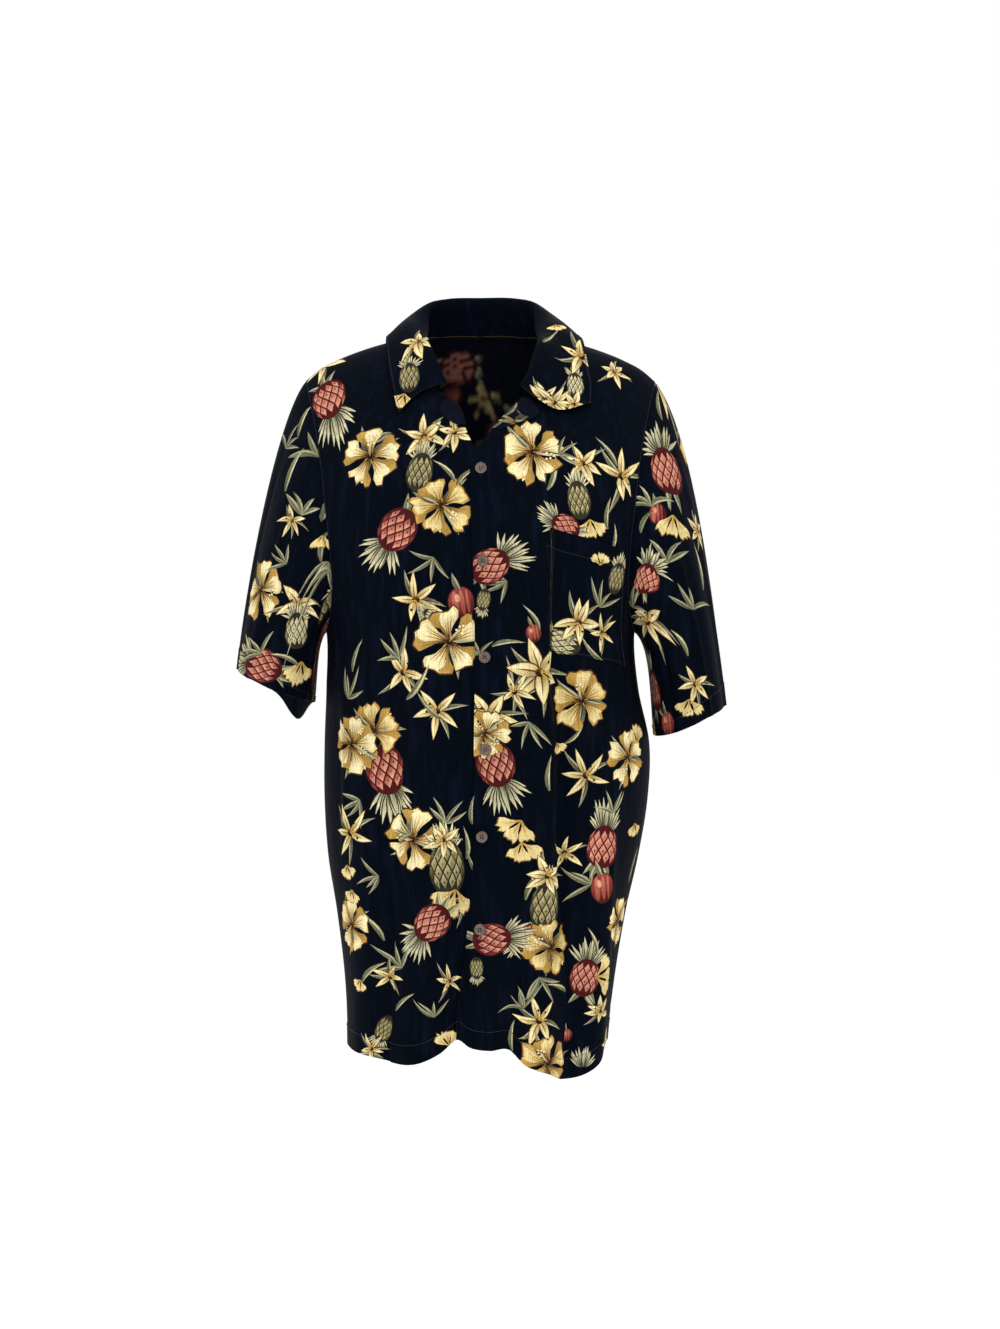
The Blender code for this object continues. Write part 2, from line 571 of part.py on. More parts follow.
def buildButton(name, x, z, material):
    """Turned disc with a raised rim and four thread holes."""
    profile = [(0.0, 0.30), (0.60, 0.30), (0.74, 0.50), (0.90, 0.50), (1.0, 0.22), (1.0, -0.22),
               (0.86, -0.50), (0.0, -0.50)]
    mesh = bmesh.new()
    around = 20
    rings = []
    for radius, height in profile[1:-1]:
        rings.append([mesh.verts.new((radius * buttonRadius * math.cos(i / around * 2 * math.pi),
                                      radius * buttonRadius * math.sin(i / around * 2 * math.pi),
                                      height * buttonThick)) for i in range(around)])
    for upper, lower in zip(rings, rings[1:]):
        for i in range(around):
            j = (i + 1) % around
            mesh.faces.new((upper[i], lower[i], lower[j], upper[j]))
    mesh.faces.new(rings[0])
    mesh.faces.new(rings[-1][::-1])
    bmesh.ops.recalc_face_normals(mesh, faces=mesh.faces[:])
    data = bpy.data.meshes.new(name)
    mesh.to_mesh(data)
    mesh.free()
    button = bpy.data.objects.new(name, data)
    bpy.context.scene.collection.objects.link(button)
    data.materials.append(material)
    holes = bmesh.new()
    for angle in (45, 135, 225, 315):
        spot = Vector((math.cos(math.radians(angle)), math.sin(math.radians(angle)), 0)) * 0.0017
        bmesh.ops.create_cone(holes, cap_ends=True, segments=8, radius1=0.0008, radius2=0.0008,
                              depth=buttonThick * 3, matrix=Matrix.Translation(spot))
    holeData = bpy.data.meshes.new(name + "_holes")
    holes.to_mesh(holeData)
    holes.free()
    cutter = bpy.data.objects.new(name + "_holes", holeData)
    bpy.context.scene.collection.objects.link(cutter)
    cutter.hide_render = True
    cutter.display_type = "WIRE"
    bore = button.modifiers.new("Thread holes", "BOOLEAN")
    bore.operation = "DIFFERENCE"
    bore.solver = "EXACT"
    bore.object = cutter
    turn = float(turnAt(x, z))
    normal = Vector(bodyNormal(turn, z))
    spin = normal.to_track_quat("Z", "Y").to_matrix().to_4x4()
    place = Matrix.Translation(Vector(onFront(x, z, buttonLift))) @ spin
    button.matrix_world = place
    cutter.matrix_world = place
    return button


# ---- make everything ----------------------------------------------------------------------------
for old in list(bpy.data.objects):
    bpy.data.objects.remove(old, do_unlink=True)

clothNavy = plainMaterial("printed_cloth", (0.010, 0.012, 0.030), 0.75)
buttonBrown = plainMaterial("button_brown", (0.120, 0.075, 0.055), 0.35)

leftSheet = frontSheet(leftFrontEdge, 1, overlapLift)
rightSheet = frontSheet(rightFrontEdge, -1, -overlapLift)
clothSolid("front_left", *leftSheet, panelWall, clothNavy)
clothSolid("front_right", *rightSheet, panelWall, clothNavy)
rearSheet = backSheet()
clothSolid("back", *rearSheet, panelWall, clothNavy)
buildSleeve("sleeve_left", 1, sleeves["left"], (leftSheet, rearSheet), clothNavy)
buildSleeve("sleeve_right", -1, sleeves["right"], (rightSheet, rearSheet), clothNavy)
buildCollar("collar", clothNavy)
buildFlap("facing_left", leftSheet, 1, clothNavy)
buildFlap("facing_right", rightSheet, -1, clothNavy)
buildPocket("pocket", clothNavy)
for number, (x, z) in enumerate(buttonSpots, start=1):
    buildButton("button_%d" % number, x, z, buttonBrown)
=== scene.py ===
import json
import math
import bpy
import numpy as np
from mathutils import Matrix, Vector
from mathutils.geometry import delaunay_2d_cdt

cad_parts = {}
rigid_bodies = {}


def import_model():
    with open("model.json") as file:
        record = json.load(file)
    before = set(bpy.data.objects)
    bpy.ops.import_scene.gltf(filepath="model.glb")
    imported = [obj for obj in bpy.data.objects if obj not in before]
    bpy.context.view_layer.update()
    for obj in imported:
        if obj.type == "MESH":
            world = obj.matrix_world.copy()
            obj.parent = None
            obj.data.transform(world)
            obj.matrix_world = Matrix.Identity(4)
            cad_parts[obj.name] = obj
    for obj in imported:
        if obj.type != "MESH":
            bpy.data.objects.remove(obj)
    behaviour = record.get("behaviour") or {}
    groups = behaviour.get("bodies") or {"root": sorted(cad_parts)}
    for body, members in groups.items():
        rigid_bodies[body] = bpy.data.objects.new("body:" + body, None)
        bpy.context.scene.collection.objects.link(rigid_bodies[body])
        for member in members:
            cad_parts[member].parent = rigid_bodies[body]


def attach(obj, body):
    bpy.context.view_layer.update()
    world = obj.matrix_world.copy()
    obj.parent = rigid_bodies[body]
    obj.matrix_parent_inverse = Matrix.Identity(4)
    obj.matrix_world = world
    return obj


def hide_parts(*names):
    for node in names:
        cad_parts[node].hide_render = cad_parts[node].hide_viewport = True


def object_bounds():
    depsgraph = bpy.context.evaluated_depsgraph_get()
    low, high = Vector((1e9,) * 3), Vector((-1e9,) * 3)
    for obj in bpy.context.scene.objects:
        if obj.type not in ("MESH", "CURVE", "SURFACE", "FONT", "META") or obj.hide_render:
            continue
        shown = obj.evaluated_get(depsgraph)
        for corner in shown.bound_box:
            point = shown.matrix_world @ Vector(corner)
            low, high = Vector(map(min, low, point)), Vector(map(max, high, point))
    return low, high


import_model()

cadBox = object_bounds()

# Shirt frame: x to the shirt's left side, front towards -y, z up, origin inside the neck opening.
# Lengths are metres unless a name says mm.

cameraSpot = (0.021, -4.0, -0.35)
frontPlane = -0.09                  # print places are given as seen from the camera on this plane

# height, value
halfWidth = [(-0.790, 0.1375), (-0.742, 0.1395), (-0.690, 0.1430), (-0.600, 0.1545), (-0.540, 0.1660),
             (-0.480, 0.1730), (-0.420, 0.1740), (-0.360, 0.1670), (-0.300, 0.1650), (-0.250, 0.1750),
             (-0.200, 0.1860), (-0.150, 0.1910), (-0.100, 0.1940), (0.050, 0.1950)]
sway = [(-0.790, -0.005), (-0.690, -0.001), (-0.600, 0.001), (-0.540, 0.003), (-0.480, 0.006),
        (-0.420, 0.0070), (-0.360, 0.002), (-0.300, 0.000), (0.050, 0.000)]
frontDepth = [(-0.790, 0.100), (-0.690, 0.106), (-0.600, 0.113), (-0.500, 0.119), (-0.400, 0.125),
              (-0.300, 0.129), (-0.200, 0.128), (-0.120, 0.120), (-0.050, 0.110), (0.040, 0.100)]
backDepth = [(-0.790, 0.094), (-0.600, 0.096), (-0.450, 0.098), (-0.300, 0.104), (-0.200, 0.112),
             (-0.120, 0.110), (-0.050, 0.102), (0.040, 0.090)]
# distance from the middle, height of the shoulder seam there
shoulderLine = [(0.000, 0.046), (0.040, 0.034), (0.0715, 0.0165), (0.099, 0.0105), (0.130, 0.0010),
                (0.1535, -0.0085), (0.176, -0.0210), (0.188, -0.0315), (0.205, -0.0450)]

# height, sideways place of each cut edge
leftFrontEdge = [(-0.790, -0.027), (-0.724, -0.025), (-0.698, -0.023), (-0.646, -0.017),
                 (-0.520, -0.006), (-0.420, -0.006), (-0.331, -0.005), (-0.226, -0.007),
                 (-0.150, -0.010), (-0.124, -0.009), (-0.110, -0.003), (-0.096, 0.007),
                 (-0.086, 0.017), (-0.076, 0.026), (-0.066, 0.036), (-0.056, 0.045),
                 (-0.046, 0.053), (-0.034, 0.061), (-0.010, 0.069), (0.0165, 0.0715)]
rightFrontEdge = [(-0.790, 0.004), (-0.700, 0.006), (-0.600, 0.016), (-0.420, 0.021),
                  (-0.220, 0.021), (-0.160, 0.018), (-0.130, 0.007), (-0.112, -0.004),
                  (-0.098, -0.011), (-0.084, -0.0165), (-0.072, -0.020), (-0.063, -0.025),
                  (-0.056, -0.034), (-0.048, -0.045), (-0.031, -0.060), (-0.008, -0.069),
                  (0.0165, -0.0715)]
frontArmhole = [(-0.300, 0.165), (-0.286, 0.1605), (-0.262, 0.1570), (-0.225, 0.1580),
                (-0.170, 0.1640), (-0.120, 0.1700), (-0.070, 0.1790), (-0.0315, 0.188)]
backArmhole = [(-0.300, 0.165), (-0.282, 0.164), (-0.255, 0.164), (-0.215, 0.168),
               (-0.165, 0.173), (-0.115, 0.178), (-0.065, 0.1835), (-0.0315, 0.188)]
# sideways place, height of the lower edge
frontHem = [(-0.150, -0.738), (-0.137, -0.743), (-0.115, -0.749), (-0.089, -0.755), (-0.060, -0.753),
            (-0.042, -0.743), (-0.026, -0.729), (-0.010, -0.737), (0.010, -0.740), (0.030, -0.739),
            (0.045, -0.755), (0.071, -0.766), (0.089, -0.772), (0.110, -0.768), (0.124, -0.754),
            (0.133, -0.738), (0.150, -0.735)]
backHem = [(-0.150, -0.738), (-0.100, -0.748), (-0.040, -0.741), (0.020, -0.750), (0.080, -0.742),
           (0.130, -0.740), (0.150, -0.735)]

# distance from the middle, height of the back neck edge
backNeck = [(0.000, 0.022), (0.030, 0.0215), (0.055, 0.0190), (0.0715, 0.0165), (0.210, 0.0165)]

# round the sleeve from the shoulder through the front, half width, height of each soft fold
sleeveFolds = [(0.75, 0.22, 0.0030), (1.30, 0.20, -0.0030), (4.90, 0.24, 0.0030), (5.50, 0.22, -0.0030)]

# Folds: height and sideways place from top to bottom, half width, and how far out (+) or in (-).
frontFolds = [
    ([(-0.770, 0.060), (-0.600, 0.058), (-0.400, 0.054), (-0.200, 0.054)], 0.018, 0.008),
    ([(-0.770, 0.092), (-0.600, 0.088), (-0.400, 0.083), (-0.230, 0.082)], 0.014, -0.008),
    ([(-0.770, -0.094), (-0.600, -0.088), (-0.420, -0.086), (-0.300, -0.080)], 0.014, -0.007),
    ([(-0.770, -0.062), (-0.600, -0.060), (-0.440, -0.060), (-0.300, -0.056)], 0.018, 0.005),
    ([(-0.770, -0.122), (-0.600, -0.122), (-0.440, -0.124), (-0.340, -0.124)], 0.016, 0.004),
    ([(-0.770, -0.020), (-0.640, -0.018), (-0.540, -0.016), (-0.480, -0.014)], 0.014, -0.007),
    ([(-0.770, 0.122), (-0.600, 0.126), (-0.420, 0.130), (-0.330, 0.132)], 0.015, 0.004),
]
backFolds = [
    ([(-0.770, -0.080), (-0.500, -0.070), (-0.240, -0.060)], 0.017, 0.007),
    ([(-0.770, -0.040), (-0.500, -0.036), (-0.260, -0.032)], 0.013, -0.006),
    ([(-0.770, 0.010), (-0.500, 0.008), (-0.280, 0.006)], 0.017, 0.005),
    ([(-0.770, 0.056), (-0.500, 0.050), (-0.230, 0.044)], 0.015, -0.006),
    ([(-0.770, 0.096), (-0.500, 0.088), (-0.240, 0.078)], 0.017, 0.006),
]

# Sleeve lower edges: middle and half size across the arm, half size front to back, then heights.
sleeves = {
    "right": {"middle": -0.2200, "half": 0.0415, "deep": 0.077, "outer": -0.340, "front": -0.362,
              "inner": -0.375, "back": -0.366, "dip": 0.022, "puff": 0.15},
    "left": {"middle": 0.2245, "half": 0.0380, "deep": 0.077, "outer": -0.375, "front": -0.400,
             "inner": -0.410, "back": -0.386, "dip": 0.0, "puff": 0.18},
}

# Collar sections from its right front end round the neck to its left front end. Each row is seam,
# roll, middle of the fall and outer edge; the front rows give x, z and height off the front panel.
collarRight = [
    [(-0.0400, -0.0475, 0.0062), (-0.0345, -0.0440, 0.0075), (-0.0590, -0.0500, 0.0060),
     (-0.0850, -0.0725, 0.0050)],
    [(-0.0445, -0.0370, 0.0036), (-0.0400, -0.0300, 0.0110), (-0.0640, -0.0360, 0.0095),
     (-0.0900, -0.0520, 0.0055)],
    [(-0.0500, -0.0240, 0.0040), (-0.0480, -0.0090, 0.0150), (-0.0700, -0.0150, 0.0130),
     (-0.0950, -0.0280, 0.0055)],
]
collarLeft = [
    [(0.0510, -0.0240, 0.0040), (0.0570, -0.0090, 0.0150), (0.0840, -0.0130, 0.0130),
     (0.1130, -0.0240, 0.0055)],
    [(0.0500, -0.0370, 0.0036), (0.0500, -0.0300, 0.0110), (0.0830, -0.0370, 0.0095),
     (0.1170, -0.0430, 0.0060)],
    [(0.0490, -0.0475, 0.0062), (0.0430, -0.0450, 0.0075), (0.0800, -0.0710, 0.0070),
     (0.1160, -0.0620, 0.0070)],
]
collarBack = [
    [(-0.0585, -0.0130, 0.0180), (-0.0585, -0.0110, 0.0270), (-0.0790, -0.0130, 0.0295),
     (-0.1005, -0.0130, 0.0145)],
    [(-0.0600, 0.0240, 0.0240), (-0.0535, 0.0230, 0.0550), (-0.0720, 0.0330, 0.0450),
     (-0.0930, 0.0450, 0.0150)],
    [(-0.0370, 0.0450, 0.0280), (-0.0340, 0.0400, 0.0610), (-0.0480, 0.0640, 0.0470),
     (-0.0600, 0.0830, 0.0120)],
    [(0.0000, 0.0510, 0.0290), (0.0000, 0.0460, 0.0625), (0.0000, 0.0740, 0.0480),
     (0.0000, 0.0950, 0.0090)],
    [(0.0370, 0.0450, 0.0280), (0.0350, 0.0400, 0.0615), (0.0500, 0.0640, 0.0480),
     (0.0620, 0.0830, 0.0120)],
    [(0.0600, 0.0240, 0.0240), (0.0560, 0.0230, 0.0555), (0.0760, 0.0330, 0.0440),
     (0.0985, 0.0450, 0.0145)],
    [(0.0595, -0.0130, 0.0180), (0.0625, -0.0110, 0.0275), (0.0850, -0.0130, 0.0285),
     (0.1090, -0.0130, 0.0125)],
]

# Turned-out facings: how wide they lie on the front at places from the collar to the top button.
flapWidths = {"left": [0.010, 0.022, 0.024, 0.021, 0.015, 0.008], "right":
              [0.008, 0.017, 0.020, 0.018, 0.013, 0.007]}
flapSpan = {"left": (-0.0560, -0.0890), "right": (-0.0580, -0.0850)}

pocketCorners = [(0.0715, -0.193), (0.1480, -0.2150), (0.1490, -0.336), (0.0725, -0.322)]

buttonSpots = [(0.001, -0.132), (0.003, -0.228), (0.005, -0.328), (0.006, -0.424), (0.003, -0.515),
               (0.001, -0.612)]

# Sharper creases of the hanging cloth: height and sideways place from bottom to top, half width on
# the left-hand side of the shirt, half width on the other side, and height.
frontCreases = [
    ([(-0.770, 0.090), (-0.645, 0.088), (-0.583, 0.079), (-0.540, 0.0725), (-0.180, 0.0705)], 0.0055,
     0.020, 0.0060),
    ([(-0.770, 0.103), (-0.645, 0.100), (-0.540, 0.088), (-0.220, 0.086)], 0.012, 0.010, -0.0050),
    ([(-0.770, -0.092), (-0.560, -0.087), (-0.410, -0.085)], 0.015, 0.0035, 0.0050),
    ([(-0.540, -0.146), (-0.360, -0.147)], 0.010, 0.004, 0.0040),
    ([(-0.700, -0.018), (-0.620, -0.016), (-0.530, -0.016)], 0.004, 0.010, -0.0035),
    ([(-0.215, -0.048), (-0.112, -0.065)], 0.010, 0.004, 0.0030),
    ([(-0.400, 0.150), (-0.200, 0.152), (-0.120, 0.154)], 0.004, 0.011, 0.0035),
    ([(-0.330, -0.028), (-0.200, -0.040), (-0.150, -0.052)], 0.012, 0.006, 0.0025),
    ([(-0.760, 0.030), (-0.600, 0.028), (-0.470, 0.030)], 0.005, 0.012, 0.0030),
    ([(-0.760, 0.126), (-0.640, 0.130), (-0.500, 0.134)], 0.005, 0.009, 0.0030),
]
backCreases = [
    ([(-0.770, -0.105), (-0.500, -0.096), (-0.300, -0.090)], 0.004, 0.014, 0.0045),
    ([(-0.770, -0.020), (-0.500, -0.016), (-0.260, -0.012)], 0.013, 0.004, 0.0040),
    ([(-0.770, 0.036), (-0.500, 0.030), (-0.340, 0.026)], 0.004, 0.012, 0.0035),
    ([(-0.770, 0.118), (-0.520, 0.110), (-0.260, 0.100)], 0.012, 0.004, 0.0040),
    ([(-0.300, -0.130), (-0.150, -0.080)], 0.006, 0.014, 0.0030),
    ([(-0.300, 0.132), (-0.150, 0.084)], 0.014, 0.006, 0.0030),
]
# turn round the sleeve, half width and height of each crease
sleeveCreases = {1: [(1.05, 0.05, 0.0028), (2.05, 0.10, -0.0030), (0.35, 0.09, 0.0025), (4.1, 0.10, 0.003),
                     (5.1, 0.08, -0.0025)],
                 -1: [(0.95, 0.07, 0.0030), (1.75, 0.09, -0.0030), (0.30, 0.08, -0.0022),
                      (2.50, 0.08, 0.0028), (4.3, 0.09, 0.003), (5.3, 0.10, -0.0025)]}


def addObject(name, data):
    made = bpy.data.objects.new(name, data)
    bpy.context.scene.collection.objects.link(made)
    return made


# reading smooth curves
def readCurve(rows, at):
    places, values = np.array(rows, dtype=float).T
    slopes = np.gradient(values, places)
    at = np.clip(np.asarray(at, dtype=float), places[0], places[-1])
    index = np.clip(np.searchsorted(places, at, side="right") - 1, 0, len(places) - 2)
    span = places[index + 1] - places[index]
    t = (at - places[index]) / span
    start = (1 + 2 * t) * (1 - t) ** 2 * values[index] + t * (1 - t) ** 2 * span * slopes[index]
    end = t * t * (3 - 2 * t) * values[index + 1] + t * t * (t - 1) * span * slopes[index + 1]
    return start + end


def softStep(value, low, high):
    t = np.clip((value - low) / (high - low), 0.0, 1.0)
    return t * t * (3 - 2 * t)


def foldHeight(folds, x, z):
    total = np.zeros_like(x + z)
    for path, width, depth in folds:
        middle = readCurve(path, z)
        top = path[-1][0]
        fade = softStep(z, top + 0.05, top - 0.06)
        grow = 0.55 + 0.45 * softStep(z, top, -0.74)
        total = total + depth * fade * grow * np.exp(-((x - middle) / width) ** 2)
    return total


def creaseHeight(creases, x, z):
    # sharp on one side, soft on the other
    total = np.zeros_like(x + z)
    for path, sharp, soft, depth in creases:
        off = x - readCurve(path, z)
        width = np.where(off > 0, sharp, soft)
        bottom, top = path[0][0], path[-1][0]
        fade = softStep(z, top + 0.02, top - 0.05) * softStep(z, bottom - 0.02, bottom + 0.05)
        total = total + depth * fade * np.exp(-(off / width) ** 2)
    return total


body = {"wall": 0.0009, "hemWall": 0.0017, "hemDeep": 0.022, "mesh": 0.0030, "backMesh": 0.0046,
        "seamDip": 0.0007, "seamWide": 0.0022, "squareness": 2.35, "chest": -0.190,
        "underarm": -0.300, "hem": -0.745, "middle": 0.006, "lapLift": 0.0016, "arch": 0.200,
        "round": 0.155}
# the body surface: u is the turn round the body times body["round"], v the height, which becomes
# the length along the curve above the chest, so the shoulder seam is at one value of v
topV = body["chest"] + body["arch"] * math.pi / 2


def bodyAt(u, v, rear=False, lift=0.0):
    u, v = np.broadcast_arrays(np.asarray(u, float), np.asarray(v, float))
    turn = u / body["round"]
    bend = 2.5 if rear else 2.0
    theta = np.clip((v - body["chest"]) / body["arch"], 0.0, math.pi / 2)
    part = np.sin(theta) ** (2 / bend)
    closing = np.maximum(np.cos(theta), 0.0) ** (2 / bend)
    sine, cosine = np.sin(turn), np.cos(turn)
    z = v
    for _ in range(4):
        across = readCurve(halfWidth, z)
        if rear:
            deep = readCurve(backDepth, z) - body["middle"]
        else:
            deep = readCurve(frontDepth, z) + body["middle"]
        power = (np.abs(sine) / across) ** body["squareness"]
        power = power + (np.abs(cosine) / deep) ** body["squareness"]
        reach = power ** (-1 / body["squareness"])
        x = reach * sine
        ridge = readCurve(shoulderLine, np.abs(x))
        z = np.where(v > body["chest"], body["chest"] + (ridge - body["chest"]) * part, v)
    folds, creases = (backFolds, backCreases) if rear else (frontFolds, frontCreases)
    push = foldHeight(folds, x, z) + creaseHeight(creases, x, z)
    push = push * softStep(np.abs(cosine), 0.10, 0.45)
    shift = readCurve(sway, z)
    y = body["middle"] - (reach + push) * cosine * closing
    lower = readCurve(backHem if rear else frontHem, x + shift) - body["hem"]
    drop = lower * softStep(z, -0.600, -0.745)
    return np.stack([x + shift + push * sine, y, z + drop], axis=-1)


def bodyChart(x, z, rear=False):
    # chart place of a sideways place and height on the body
    x, z = np.asarray(x, float), np.asarray(z, float)
    away = x - readCurve(sway, z)
    across = readCurve(halfWidth, z)
    deep = readCurve(backDepth, z) - body["middle"] if rear else readCurve(frontDepth, z) + body["middle"]
    share = np.clip(np.abs(away) / across, 0.0, 1.0)
    turn = np.arctan2(away, deep * (1 - share ** body["squareness"]) ** (1 / body["squareness"]))
    if rear:
        turn = math.pi - turn
    ridge = readCurve(shoulderLine, np.abs(away))
    part = np.clip((z - body["chest"]) / (ridge - body["chest"]), 0.0, 1.0)
    theta = np.arcsin(part ** (2.5 / 2 if rear else 1.0))
    v = np.where(z > body["chest"], body["chest"] + body["arch"] * theta, z)
    return np.stack([turn * body["round"], v], axis=-1)


def walked(points):
    steps = np.linalg.norm(np.diff(np.asarray(points, float), axis=0), axis=1)
    return np.concatenate([[0.0], np.cumsum(steps)])


def evenly(points, space):
    # the same run of points, cut into equal steps
    lengths = walked(points)
    count = max(2, int(round(lengths[-1] / space)) + 1)
    wanted = np.linspace(0, lengths[-1], count)
    points = np.asarray(points, float)
    return np.stack([np.interp(wanted, lengths, points[:, axis]) for axis in range(points.shape[1])], 1)


def outlineOf(runs, space):
    # one closed outline from runs that meet end to end, and which run each of its points is from
    points, owner = [], []
    for number, run in enumerate(runs):
        run = evenly(run, space)[:-1]
        points.append(run)
        owner += [number] * len(run)
    return np.concatenate(points), np.array(owner)


def inside(points, outline):
    x, y = points[:, 0], points[:, 1]
    result = np.zeros(len(points), bool)
    for (ax, ay), (bx, by) in zip(outline, np.roll(outline, -1, axis=0)):
        if ay == by:
            continue
        crosses = (ay > y) != (by > y)
        result ^= crosses & (x < (bx - ax) * (y - ay) / (by - ay) + ax)
    return result


def nearest(points, targets):
    if len(targets) == 0:
        return np.full(len(points), 9.0)
    best = np.full(len(points), 9.0)
    for start in range(0, len(points), 4000):
        some = points[start:start + 4000]
        gap = np.linalg.norm(some[:, None] - targets[None], axis=2)
        best[start:start + 4000] = gap.min(axis=1)
    return best


def normalsOf(at, u, v, flip):
    step = 0.0007
    across = at(u + step, v) - at(u - step, v)
    upward = at(u, v + step) - at(u, v - step)
    normal = np.cross(across, upward) * flip
    return normal / np.maximum(np.linalg.norm(normal, axis=-1, keepdims=True), 1e-12)


# print inks, given as the red, green and blue of a paint chart
def ink(red, green, blue):
    values = np.array([red, green, blue]) / 255
    return np.where(values <= 0.04045, values / 12.92, ((values + 0.055) / 1.055) ** 2.4)


navy = ink(2, 5, 13)
inks = {"cream": ink(224, 204, 142), "pale": ink(238, 226, 176), "gold": ink(190, 152, 76),
        "ochre": ink(128, 96, 42), "brown": ink(72, 46, 24), "umber": ink(36, 22, 16),
        "salmon": ink(180, 102, 84), "blush": ink(208, 146, 120), "rose": ink(138, 60, 52),
        "wine": ink(70, 22, 22), "leaf": ink(80, 82, 60), "sage": ink(132, 130, 98),
        "ivory": ink(206, 198, 160), "olive": ink(112, 104, 66), "khaki": ink(178, 166, 118),
        "moss": ink(46, 44, 32), "navy": navy}


# painted shapes: each is an outline in mm with a colour that runs from one place to another
def dab(points, near, far, start=(0, 0), end=(0, 1)):
    return {"points": np.asarray(points, float), "near": inks[near], "far": inks[far],
            "start": np.asarray(start, float), "end": np.asarray(end, float)}


def turned(dabs, angle, shift=(0.0, 0.0), size=1.0):
    cosine, sine = math.cos(angle), math.sin(angle)
    spin = np.array([[cosine, sine], [-sine, cosine]]) * size
    shift = np.asarray(shift, float)
    return [dict(one, points=one["points"] @ spin + shift, start=one["start"] @ spin + shift,
                 end=one["end"] @ spin + shift) for one in dabs]


def blade(long, half, bend, steps=6, side=0):
    # a tapered leaf that bends sideways; side picks one half of it
    t = np.linspace(0, 1, steps)
    middle = np.stack([bend * t ** 2, long * t], axis=1)
    width = half * np.sin(math.pi * np.clip(t * 0.94 + 0.06, 0, 1) ** 0.8)
    away = np.stack([width, np.zeros(steps)], axis=1)
    right, left = middle + away, middle - away
    if side > 0:
        left = middle
    if side < 0:
        right = middle
    return np.concatenate([right[:-1], middle[-1:], left[-2::-1]])


def leafDabs(long, half, bend, dark="leaf", light="sage", tip="ivory"):
    return [dab(blade(long, half, bend), dark, light, (0, 0), (0, long)),
            dab(blade(long * 0.94, half * 0.86, bend * 0.94, side=1), light, tip, (0, 0), (0, long)),
            dab(blade(long * 0.9, half * 0.16, bend * 0.92, 5), dark, dark)]


petalSide = [(0.08, 0.06), (0.17, 0.26), (0.48, 0.48), (0.90, 0.66), (1.00, 0.83), (0.74, 0.97),
             (0.34, 0.91), (0.03, 0.98)]


def petalOutline(long, half, chance, ruffle):
    right = np.array(petalSide)
    left = right[-2::-1] * (-1, 1)
    points = np.concatenate([right, left])
    rough = chance.normal(0, ruffle, points.shape) * np.clip(points[:, 1:], 0, 1)
    return (points + rough) * (half, long)


def hibiscus(size, seed, gold=False):
    chance = np.random.default_rng(seed)
    middle, tip = ("gold", "gold") if gold else ("gold", "cream")
    dabs = []
    for angle in (chance.uniform(20, 80), chance.uniform(150, 210), chance.uniform(260, 320)):
        dabs += turned(leafDabs(size * chance.uniform(1.0, 1.3), size * 0.13, size * 0.3, "moss", "sage"),
                       math.radians(angle))
    for number in (0, 2, 4, 1, 3):
        long = size * chance.uniform(0.90, 1.06)
        half = size * chance.uniform(0.43, 0.52)
        edge = petalOutline(long, half, chance, 0.05)
        shade = np.concatenate([edge[8:], edge[8:][::-1] * (0.35, 0.92)])
        one = [dab(edge * 1.05, "umber", "brown", (0, 0), (0, long)),
               dab(edge, "ochre", tip, (0, long * 0.10), (0, long * 0.72)),
               dab(edge * (0.66, 0.93) + (half * 0.14, long * 0.02), middle, "cream" if gold else "pale",
                   (0, long * 0.22), (0, long * 0.8)),
               dab(shade, "ochre", middle, (-half * 0.8, long * 0.2), (0, long * 0.9))]
        for spread in (-0.66, -0.34, -0.02, 0.30, 0.60):
            root, far = spread * half * 0.14, spread * half * chance.uniform(0.95, 1.25)
            reach = long * chance.uniform(0.66, 0.86)
            thin = size * 0.015
            one.append(dab([(root - thin, long * 0.12), (root + thin, long * 0.12),
                            (far * 0.55 + thin * 0.8, reach * 0.62), (far, reach),
                            (far * 0.55 - thin * 0.8, reach * 0.62)], "brown", "ochre", (0, 0),
                           (0, reach)))
        dabs += turned(one, math.radians(72 * number + chance.uniform(-8, 8)))
    star = [(math.cos(a) * size * r, math.sin(a) * size * r) for a, r in
            zip(np.linspace(0, 2 * math.pi, 20, endpoint=False), [0.09, 0.24] * 10)]
    dabs.append(dab(star, "umber", "brown", (0, 0), (0, size * 0.2)))
    stamen = [dab(blade(size * 0.56, size * 0.04, size * 0.10, 6), "ochre", "pale", (0, 0),
                  (0, size * 0.6))]
    for x, y in ((0.16, 0.54), (0.02, 0.56), (0.09, 0.64), (0.19, 0.43), (-0.01, 0.42)):
        spots = np.linspace(0, 2 * math.pi, 6, endpoint=False)
        dot = np.stack([np.cos(spots), np.sin(spots)], axis=1) * size * 0.038
        stamen.append(dab(dot + (x * size, y * size), "gold", "pale"))
    return dabs + turned(stamen, math.radians(chance.uniform(0, 360)))


